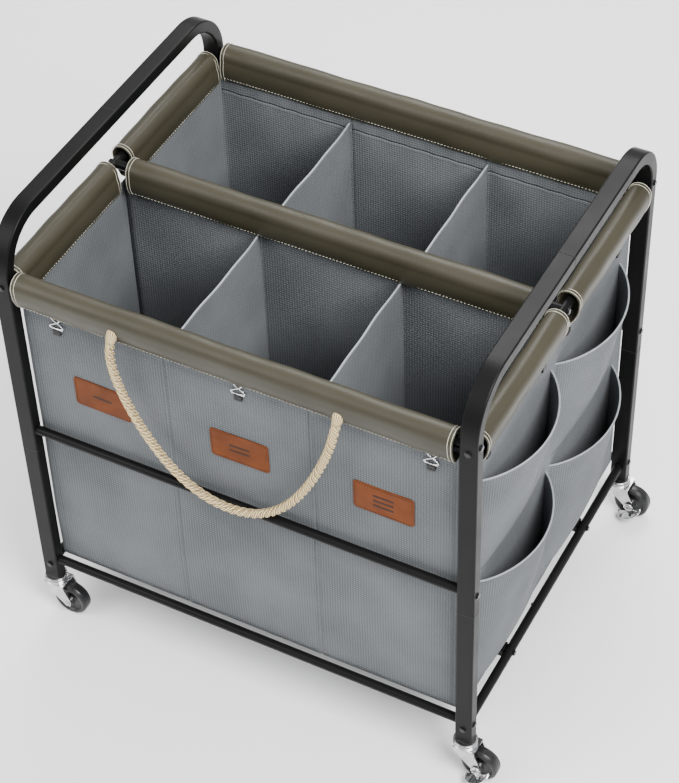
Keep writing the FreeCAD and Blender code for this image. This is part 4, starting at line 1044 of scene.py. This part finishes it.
    def trims(self) -> Surface:
        """Return the two thin trim cords that arch over each end of the sleeve and run down both
        sides."""
        origin, run, out, half = self.frame()
        profile = self.profile()
        start = int(np.argmin(profile[:, 1]))
        loop = np.roll(profile, -start, axis=0) * 1.012
        cords = []
        for end in (-1, 1):
            for place in (0.0022, 0.0078):
                path = origin + end * (half - place) * run + loop[:, :1] * out + loop[:, 1:] * UP
                cords.append(tube(path, 0.00045, run, 6, True))
        return joined(cords)

    def build(self, palette: Palette) -> Surface:
        """Make the sleeve and return its stitches for the piece that gathers them."""
        item = make(self.node + "_cover", self.surface(), palette.leather)
        settle(item, "frame", "sleeve_leather", self.node)
        lines = [self.line(0.0062, side, 0.0003) for side in (-1, 1)]
        return joined([self.trims()] + [seam_of_stitches(path, normal, 0.0062, 0.0040, 0.0009)
                                        for path, normal in lines])


def build_sleeves(palette: Palette) -> None:
    """Make the seven sleeves and one piece with all their thread."""
    sleeves = [Sleeve("sleeve_front", "top_rail_front", (0, -1)),
               Sleeve("sleeve_back", "top_rail_back", (0, 1)),
               Sleeve("sleeve_middle", "top_rail_middle", (0, 1), inset=0.0)]
    for side, out in (("left", (-1, 0)), ("right", (1, 0))):
        sleeves += [Sleeve(f"sleeve_{side}_{row}", f"top_rail_{side}", out)
                    for row in ("front", "back")]
    threads = joined([sleeve.build(palette) for sleeve in sleeves])
    settle(make("sleeve_stitches", threads, palette.thread), "frame", "sleeve_leather")


@dataclass
class Pockets:
    """The four side pockets: sheets bowed out from the right wall, deep at the rim and shallow at
    the foot."""

    width: float = 0.262
    spacing: float = 0.014
    rim_depth: float = 0.0565
    foot_depth: float = 0.0095
    thickness: float = 0.002

    def bow(self, s: Array, t: Array) -> Array:
        """Return how far a pocket stands out: depth(t) (1 - s^2)^0.82, plus soft folds that fade
        at the rim.

        Args:
            s: the place across the pocket, -1 to 1.
            t: the share of the height, 0 at the foot.

        Returns:
            The distance from the wall.
        """
        depth = self.foot_depth + (self.rim_depth - self.foot_depth) * t ** 0.9
        arch = np.clip(1 - s ** 2, 0, 1) ** 0.82
        folds = 0.0016 * np.sin(math.pi * t) * np.sin(9 * s + 2.5 * np.sin(3 * t)) * (1 - s ** 2)
        return depth * arch + folds

    def one(self, wall_x: float, middle: float, low: float, high: float) -> tuple[Surface, Surface]:
        """Return one pocket's sheet and the binding on its rim.

        Args:
            wall_x: where the wall's outer face is.
            middle: the pocket's middle along Y.
            low: the height of its foot.
            high: the height of its rim.

        Returns:
            The sheet and its binding.
        """
        s = np.sin(np.linspace(-1, 1, 72) * math.pi / 2)[None]
        t = np.linspace(0, 1, 48)[:, None]
        out = self.bow(s, t)
        rim_dip = 0.004 * t ** 6 * (1 - s ** 2)
        level = low + t * (high - low) - rim_dip
        across = middle + s * self.width / 2
        spread = stacked(wall_x - 0.0006 + out, across, level)
        foot = stacked(wall_x - 0.0006 + out[:1] * np.array([[0.0], [0.5]]), across, low + 0 * s)
        points = np.concatenate([foot, spread])
        rim = spread[-1]
        run = run_length(rim)
        heights = np.concatenate([[low - 0.010, low - 0.005], (low + t[:, 0] * (high - low))])
        flat = stacked(run[None], heights[:, None])
        return grid(points, flat), tube(rim + np.array([-0.0008, 0, 0.0004]), 0.0016, (0, 0, 1), 8)

    def build(self, wall: Wall, palette: Palette) -> None:
        """Make the upper and the lower pair of pockets."""
        wall_x = wall.centre[0] + wall.half_x
        for level in ("upper", "lower"):
            node = f"side_pockets_{level}"
            low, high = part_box(node)
            pairs = [self.one(wall_x, wall.centre[1] + end * (self.width + self.spacing) / 2,
                              low.z, high.z) for end in (-1, 1)]
            cloth = thicken(make(f"{node}_cloth", joined([pair[0] for pair in pairs]),
                                 palette.cloth, False), self.thickness)
            settle(cloth, "frame", "bag_fabric", node)
            rims = settle(make(f"{node}_binding", joined([pair[1] for pair in pairs]),
                               palette.binding), "frame", "bag_fabric")


@dataclass
class Labels:
    """The three leather patches: rounded plates bent to the wall, with edge stitches and plain bar
    marks."""

    width: float = 0.104
    height: float = 0.060
    corner: float = 0.006
    thickness: float = 0.002
    spacing: float = 0.251
    level: float = 0.575
    seam_inset: float = 0.0012

    def on_wall(self, wall: Wall, flat: Surface, x: float, proud: float = 0.0) -> Surface:
        """Lay a flat piece on the wall: its y becomes a distance out from the wall's own
        surface."""
        place, level = x + flat.points[:, 0], self.level + flat.points[:, 2]
        points = wall.front(place, level, proud)
        points[:, 1] += flat.points[:, 1]
        return Surface(points, flat.quads, flat.tris, flat.flat)

    def edge(self) -> Array:
        """Return the stitch line, an even inset of the outline."""
        turn = np.linspace(0, 2 * math.pi, 400)
        inset = self.corner + self.seam_inset
        line = round_corners(turn, (self.width / 2 - inset, self.height / 2 - inset),
                             self.corner - 0.002)
        return np.stack([line[:, 0], np.full(400, -self.thickness - 0.0001), line[:, 1]], axis=1)

    def build(self, wall: Wall, palette: Palette) -> None:
        """Make the patches, their stitches and their marks: one, two and three bars."""
        plates, threads, marks = [], [], []
        bar = rounded_plate(0.036, 0.0042, 0.0018, 0.0006, 0.0004, 8)
        for index in range(3):
            x = (index - 1) * self.spacing
            plates.append(self.on_wall(wall,
                                       rounded_plate(self.width, self.height, self.corner,
                                                     self.thickness, 0.0008), x))
            line = self.edge()
            seam = seam_of_stitches(line, np.tile([0.0, -1.0, 0.0], (400, 1)), 0.0048, 0.0032,
                                    0.0009)
            threads.append(self.on_wall(wall, seam, x))
            for place in range(index + 1):
                lifted = bar.moved(y=-self.thickness + 0.0003, z=(place - index / 2) * 0.0105)
                marks.append(self.on_wall(wall, lifted, x))
        settle(make("label_patch_leather", joined(plates), palette.patch), "frame",
               "patch_leather", "label_patches")
        settle(make("label_patch_stitches", joined(threads), palette.mark), "frame",
               "patch_leather")
        settle(make("label_patch_marks", joined(marks), palette.mark), "frame", "patch_leather")


@dataclass
class Clips:
    """The hem clips: a leather tab under the sleeve, a crossed wire loop and a small spring jaw."""

    front_places: tuple[float, ...] = (-0.320, 0.006, 0.332)
    side_places: tuple[float, ...] = (-0.24776, -0.04564, 0.04564, 0.24776)
    side_drop: float = 0.010

    def spots(self, wall: Wall, front_foot: float, side_foot: float) -> tuple[Array, Array]:
        """Return each clip's top on its wall, and its three directions: along, outward, up."""
        origins, frames = [], []
        for end in (-1, 1):
            for place in self.front_places:
                origins.append([wall.centre[0] + place, wall.centre[1] + end * wall.half_y,
                                front_foot])
                frames.append([[1, 0, 0], [0, end, 0], [0, 0, 1]])
        for side in (-1, 1):
            for place in self.side_places:
                origins.append([wall.centre[0] + side * wall.half_x, wall.centre[1] + place,
                                side_foot])
                frames.append([[0, 1, 0], [side, 0, 0], [0, 0, 1]])
        return np.array(origins, float), np.array(frames, float)

    def build(self, wall: Wall, palette: Palette) -> None:
        """Make the three group pieces."""
        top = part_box("clip_tabs")[1].z
        origins, frames = self.spots(wall, top, top - self.side_drop)
        tab = rounded_plate(0.014, 0.018, 0.003, 0.0018, 0.0008, 8)
        tab = Surface(tab.points * np.array([1, -1, 1]) + np.array([0, 0.0026, -0.0065]),
                      tab.quads, tab.tris)
        turn = np.linspace(0, 2 * math.pi, 64, endpoint=False)
        crossed = np.stack([0.0098 * np.sin(2 * turn) * (1 - 0.25 * np.cos(turn)),
                            0.0034 + 0.0011 * np.sin(turn), -0.0235 + 0.0125 * np.cos(turn)],
                           axis=1)
        wire = tube(crossed, 0.0012, (0, 1, 0), 8, True)
        bar = tube(np.column_stack([np.linspace(-0.0115, 0.0115, 14), np.full(14, 0.0036),
                                    np.full(14, -0.0365)]), 0.0009, (0, 0, 1), 8)
        jaw = rounded_plate(0.014, 0.012, 0.0025, 0.0052, 0.0012, 8)
        jaw = Surface(jaw.points * np.array([1, -1, 1]) + np.array([0, 0.0006, -0.0435]),
                      jaw.quads, jaw.tris)
        for name, node, shape, slot, finish in (
                ("clip_leather_tabs", "clip_tabs", tab, "sleeve_leather", palette.leather),
                ("clip_wire_loops", "clip_wires", joined([wire, bar]), "caster_zinc", palette.wire),
                ("clip_spring_jaws", "clip_jaws", jaw, "insert_plastic", palette.plastic)):
            settle(make(name, scattered(shape, origins, frames), finish), "frame", slot, node)


@dataclass
class RopeHandle:
    """The rope handle: three cotton strands twisted round the route, with a round knob at each
    end."""

    radius: float = 0.007
    strand: float = 0.0041
    twist: float = 0.042
    spread: float = 0.0006
    tube_length: float = 0.7929
    route: tuple[Triple, ...] = (
        (-0.196, -0.012, -0.015), (-0.2, -0.02, -0.036), (-0.204, -0.0195, -0.073),
        (-0.199, -0.0175, -0.115), (-0.183, -0.018, -0.162), (-0.159, -0.018, -0.21),
        (-0.129, -0.018, -0.256), (-0.093, -0.018, -0.293), (-0.051, -0.018, -0.316),
        (-0.006, -0.018, -0.322), (0.037, -0.018, -0.312), (0.076, -0.018, -0.285),
        (0.109, -0.018, -0.245), (0.136, -0.018, -0.198), (0.158, -0.0175, -0.149),
        (0.176, -0.0185, -0.099), (0.187, -0.02, -0.055), (0.192, -0.012, -0.018))

    def line(self) -> Array:
        """Return points read from the route's smooth spline. The route starts from the front top
        rail's middle."""
        points = np.array(self.route) + middle_of("top_rail_front")
        curve = bpy.data.curves.new("rope_line", "CURVE")
        curve.dimensions = "3D"
        curve.resolution_u = 16
        spline = curve.splines.new("NURBS")
        spline.points.add(len(points) - 1)
        spline.points.foreach_set("co", np.column_stack([points, np.ones(len(points))]).reshape(-1))
        spline.order_u = 3
        spline.use_endpoint_u = True
        holder = bpy.data.objects.new("rope_line", curve)
        bpy.context.scene.collection.objects.link(holder)
        bpy.context.view_layer.update()
        depsgraph = bpy.context.evaluated_depsgraph_get()
        mesh = bpy.data.meshes.new_from_object(holder.evaluated_get(depsgraph))
        path = np.empty(len(mesh.vertices) * 3)
        mesh.vertices.foreach_get("co", path)
        bpy.data.objects.remove(holder)
        bpy.data.meshes.remove(mesh)
        return path.reshape(-1, 3)

    def strands(self, path: Array) -> Surface:
        """Twist three strands round the path.

        Each centre is path + (radius + spread - strand) (cos a side + sin a up), with a = 2 pi run
        / twist.

        Args:
            path: the points of the centreline.

        Returns:
            The three strands.
        """
        run = run_length(path)
        even = np.linspace(0, run[-1], 520)
        smooth = resampled(path, run, even)
        direction = along(smooth)
        side = unit(np.cross(direction, np.array([0.0, 1.0, 0.0])))
        up = np.cross(side, direction)
        parts = []
        offset = self.radius + self.spread - self.strand
        for index in range(3):
            turn = (2 * math.pi * (even / self.twist + index / 3))[:, None]
            centre = smooth + offset * (np.cos(turn) * side + np.sin(turn) * up)
            parts.append(tube(centre, self.strand, (0, 1, 0), 12))
        return joined(parts)

    def knob(self, path: Array, end: int) -> Surface:
        """Return a flared round end, carried along the rope's direction: radius 9.5 mm at its
        waist.

        Args:
            path: the rope's centreline.
            end: 0 for the first end, 1 for the last.

        Returns:
            The closed knob.
        """
        tip = path[0] if end == 0 else path[-1]
        direction = along(path)[0] if end == 0 else -along(path)[-1]
        share = np.array([0.05, 0.35, 0.7, 0.94, 1.0, 0.97, 0.86, 0.78])
        depth = np.array([-0.006, -0.0075, -0.006, -0.002, 0.003, 0.009, 0.016, 0.021])
        return tube(tip + depth[:, None] * direction, share * 0.0095, (0, 1, 0), 24)

    def build(self, palette: Palette) -> None:
        path = self.line()
        item = make("rope_handle_strands", self.strands(path), palette.rope)
        settle(item, "frame", "rope_cotton", "rope_handle")
        knobs = settle(make("rope_handle_knobs", joined([self.knob(path, end) for end in (0, 1)]),
                            palette.rope), "frame", "rope_cotton")


@dataclass
class Casters:
    """The casters: turned wheels with a tread band and dished sides, and polished rings on the
    swivels."""

    radius: float = 0.0325
    half_width: float = 0.011
    hub: float = 0.009
    rim: float = 0.0245
    tilt: float = math.radians(28)
    braked: tuple[Corner, ...] = (Corner.RIGHT_FRONT, Corner.RIGHT_BACK)
    upper_rings: tuple[Triple, ...] = ((0.0036, 0.0198, 0.0007), (0.0052, 0.0186, 0.0006))
    lower_rings: tuple[Triple, ...] = ((0.0100, 0.0200, 0.0007), (0.0125, 0.0200, 0.0006))

    def wheel(self, centre: Array, reach: float) -> Surface:
        """Turn a wheel: a crowned tread with two grooves, a rounded shoulder, a lip, a dish and a
        hub.

        Args:
            centre: the wheel's middle.
            reach: how far the hub reaches to each side.

        Returns:
            The closed wheel.
        """
        w, r = self.half_width, self.radius
        side = [(AXLE_BORE, reach), (self.hub - 0.0006, reach), (self.hub, reach - 0.0006),
                (self.hub, w - 0.0032), (self.hub + 0.0012, w - 0.0042),
                (self.rim - 0.0022, w - 0.0046), (self.rim - 0.0006, w - 0.0036),
                (self.rim, w - 0.0006), (self.rim + 0.0007, w), (r - 0.0042, w),
                (r - 0.0022, w - 0.0005), (r - 0.0008, w - 0.0020), (r - 0.0002, w - 0.0036),
                (r - 0.0011, w - 0.0042), (r - 0.0003, w - 0.0048), (r, w - 0.0075)]
        profile = np.array(side + [(radius, -level) for radius, level in reversed(side)])
        return lathe(profile, centre, "y", 72)

    def ring(self, centre: Array, level: float, radius: float, bead: float) -> Surface:
        """Turn a bead's circle about the stem.

        Args:
            centre: a point on the stem's axis.
            level: the bead's height.
            radius: how far it is from the axis.
            bead: its own radius.

        Returns:
            The ring.
        """
        turn = np.linspace(0, 2 * math.pi, 10, endpoint=False)
        profile = np.stack([radius + bead * np.cos(turn), bead * np.sin(turn)], axis=1)
        return lathe(profile, (centre[0], centre[1], level), "z", 64)

    def pedal(self, name: str) -> Surface:
        """Return a winged foot pedal with a round hub plate.

        Wing point = hub + a along the tilt + o outwards + b up, with a = 24.5 mm s, o growing to
        19 mm times
        (1 - s^2)^0.35, and b falling outwards, lifting at the tips, under two stamped ribs. Its
        upper and under sheets meet at each tip.

        Args:
            name: the corner that the pedal stands at.

        Returns:
            The closed pedal.
        """
        wheel, fork = middle_of(f"caster_wheel_{name}"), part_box(f"caster_fork_{name}")[0]
        hub = np.array([wheel[0], fork.y - 0.0002, wheel[2]])
        ahead = np.array([math.cos(self.tilt), 0.0, math.sin(self.tilt)])
        rise = np.array([-math.sin(self.tilt), 0.0, math.cos(self.tilt)])
        s = np.linspace(-1, 1, 49)[None]
        top = np.linspace(0, 1, 13)
        t = np.concatenate([top, top[::-1]])[:, None]
        share = np.clip(1 - s ** 2, 0, 1) ** 0.35
        under = np.concatenate([np.zeros(13), np.full(13, 0.0018)])[:, None] * share
        ribs = 0.0004 * np.cos(3 * math.pi * s) * np.sin(math.pi * t)
        fall = -0.0063 - (0.0044 * t - 0.0030 * s ** 2) + ribs - under
        out = 0.0003 + 0.0190 * t * share
        wing = (hub + (0.0245 * s + 0 * t)[..., None] * ahead + out[..., None]
                * np.array([0, -1.0, 0]) + fall[..., None] * rise)
        plate = np.array([(AXLE_BORE, 0.0), (0.0085, 0.0), (0.009, -0.0004), (0.009, -0.0015),
                          (0.0084, -0.0020), (0.0062, -0.0020), (0.0058, -0.0016),
                          (0.0052, -0.0016), (0.0050, -0.0020), (AXLE_BORE, -0.0020)])
        return joined([grid(wing, loop_rows=True), lathe(plate, hub, "y", 40)])

    def build(self, palette: Palette) -> None:
        """Make the wheels, the pedals and the swivel rings."""
        for corner in Corner:
            name = corner.value
            low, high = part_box(f"caster_wheel_{name}")
            centre = np.array((low + high) / 2)
            wheel = make(f"wheel_tread_{name}", self.wheel(centre, (high.y - low.y) / 2),
                         palette.wheel)
            settle(wheel, f"wheel_{name}", "wheel_black", f"caster_wheel_{name}")
            if corner in self.braked:
                pedal = make(f"foot_pedal_{name}", self.pedal(name), palette.wire)
                settle(pedal, f"pedal_{name}", "caster_zinc", f"brake_pedal_{name}")
            leg = middle_of(f"lower_leg_{name}")
            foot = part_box(f"lower_leg_{name}")[0].z
            for level, rows, body in (("upper", self.upper_rings, "frame"),
                                      ("lower", self.lower_rings, f"caster_{name}")):
                beads = joined([self.ring(leg, foot - drop, radius, bead) for drop, radius,
                                bead in rows])
                settle(make(f"swivel_{level}_ring_{name}", beads, palette.wire), body,
                       "caster_zinc")


@dataclass
class Studio:
    """The plain pale floor, the soft lights and the camera."""

    azimuth: float = 29.2
    elevation: float = 45.18
    roll: float = -2.17
    distance: float = 3.788
    target: Triple = (0.01095, -0.0385, 0.476)
    lens: float = 105.26
    aim: Triple = (0, 0, 0.45)

    def camera(self) -> None:
        """Place the camera: back from the target along its view direction, rolled about it."""
        azimuth, elevation, roll = (math.radians(value)
                                    for value in (self.azimuth, self.elevation, self.roll))
        back = Vector((math.sin(azimuth) * math.cos(elevation),
                       -math.cos(azimuth) * math.cos(elevation), math.sin(elevation)))
        right = (-back).cross(Vector((0, 0, 1))).normalized()
        up = right.cross(-back)
        turned = math.cos(roll) * right + math.sin(roll) * up
        over = math.cos(roll) * up - math.sin(roll) * right
        data = bpy.data.cameras.new("camera")
        data.lens, data.sensor_width, data.clip_end = self.lens, 36.0, 100.0
        item = bpy.data.objects.new("camera", data)
        place = Vector(self.target) + back * self.distance
        item.matrix_world = Matrix(((turned.x, over.x, back.x, place.x),
                                    (turned.y, over.y, back.y, place.y),
                                    (turned.z, over.z, back.z, place.z), (0, 0, 0, 1)))
        bpy.context.scene.collection.objects.link(item)
        bpy.context.scene.camera = item

    def light(self, name: str, place: Triple, size: float, power: float) -> None:
        """Hang a square soft light that faces the sorter."""
        data = bpy.data.lights.new(name, "AREA")
        data.size, data.energy = size, power
        item = bpy.data.objects.new(name, data)
        item.location = place
        item.rotation_euler = (Vector(self.aim) - Vector(place)).to_track_quat("-Z", "Y").to_euler()
        bpy.context.scene.collection.objects.link(item)

    def floor(self) -> None:
        """Lay the pale floor."""
        graph = Graph("studio_floor")
        shade = graph.ramp(graph.noise(0.8), (0.86, 0.86, 0.86), (0.90, 0.90, 0.90))
        graph.tree.links.new(shade, graph.shader.inputs["Base Color"])
        graph.shader.inputs["Roughness"].default_value = 0.9
        place = np.linspace(-12, 12, 5)
        points = stacked(place[:, None], place[None], 0 * place[None] - 0.0002)
        make("studio_floor", grid(points), graph.material, False)

    def build(self) -> None:
        """Make the floor, the lights and the camera."""
        self.camera()
        self.floor()
        world = bpy.data.worlds.new("studio")
        world.use_nodes = True
        nodes, links = world.node_tree.nodes, world.node_tree.links
        background = nodes["Background"]
        parts = nodes.new("ShaderNodeSeparateXYZ")
        links.new(nodes.new("ShaderNodeTexCoord").outputs["Generated"], parts.inputs[0])
        ramp = nodes.new("ShaderNodeValToRGB")
        ramp.color_ramp.elements[0].color = (0.42, 0.42, 0.43, 1)
        ramp.color_ramp.elements[1].position = 0.75
        ramp.color_ramp.elements[1].color = (1.0, 1.0, 1.0, 1)
        links.new(parts.outputs["Z"], ramp.inputs[0])
        links.new(ramp.outputs[0], background.inputs["Color"])
        background.inputs["Strength"].default_value = 1.15
        bpy.context.scene.world = world
        self.light("key_light", (2.4, -1.2, 3.6), 2.0, 330.0)
        self.light("fill_light", (-2.6, -2.6, 3.0), 2.6, 110.0)
        self.light("back_light", (-0.6, 2.6, 3.8), 2.4, 170.0)


def main() -> None:
    """Build every sub-assembly in order."""
    logging.basicConfig(level=logging.INFO, format="%(name)s: %(message)s")
    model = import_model()
    Studio().build()
    palette = Palette()
    frame = Frame()
    frame.dress(model["nodes"], model["record"], palette)
    frame.build(palette)
    wall = Bag().build(palette)
    RopeHandle().build(palette)
    build_sleeves(palette)
    Pockets().build(wall, palette)
    Labels().build(wall, palette)
    Clips().build(wall, palette)
    Casters().build(palette)


if __name__ == "__main__":
    main()
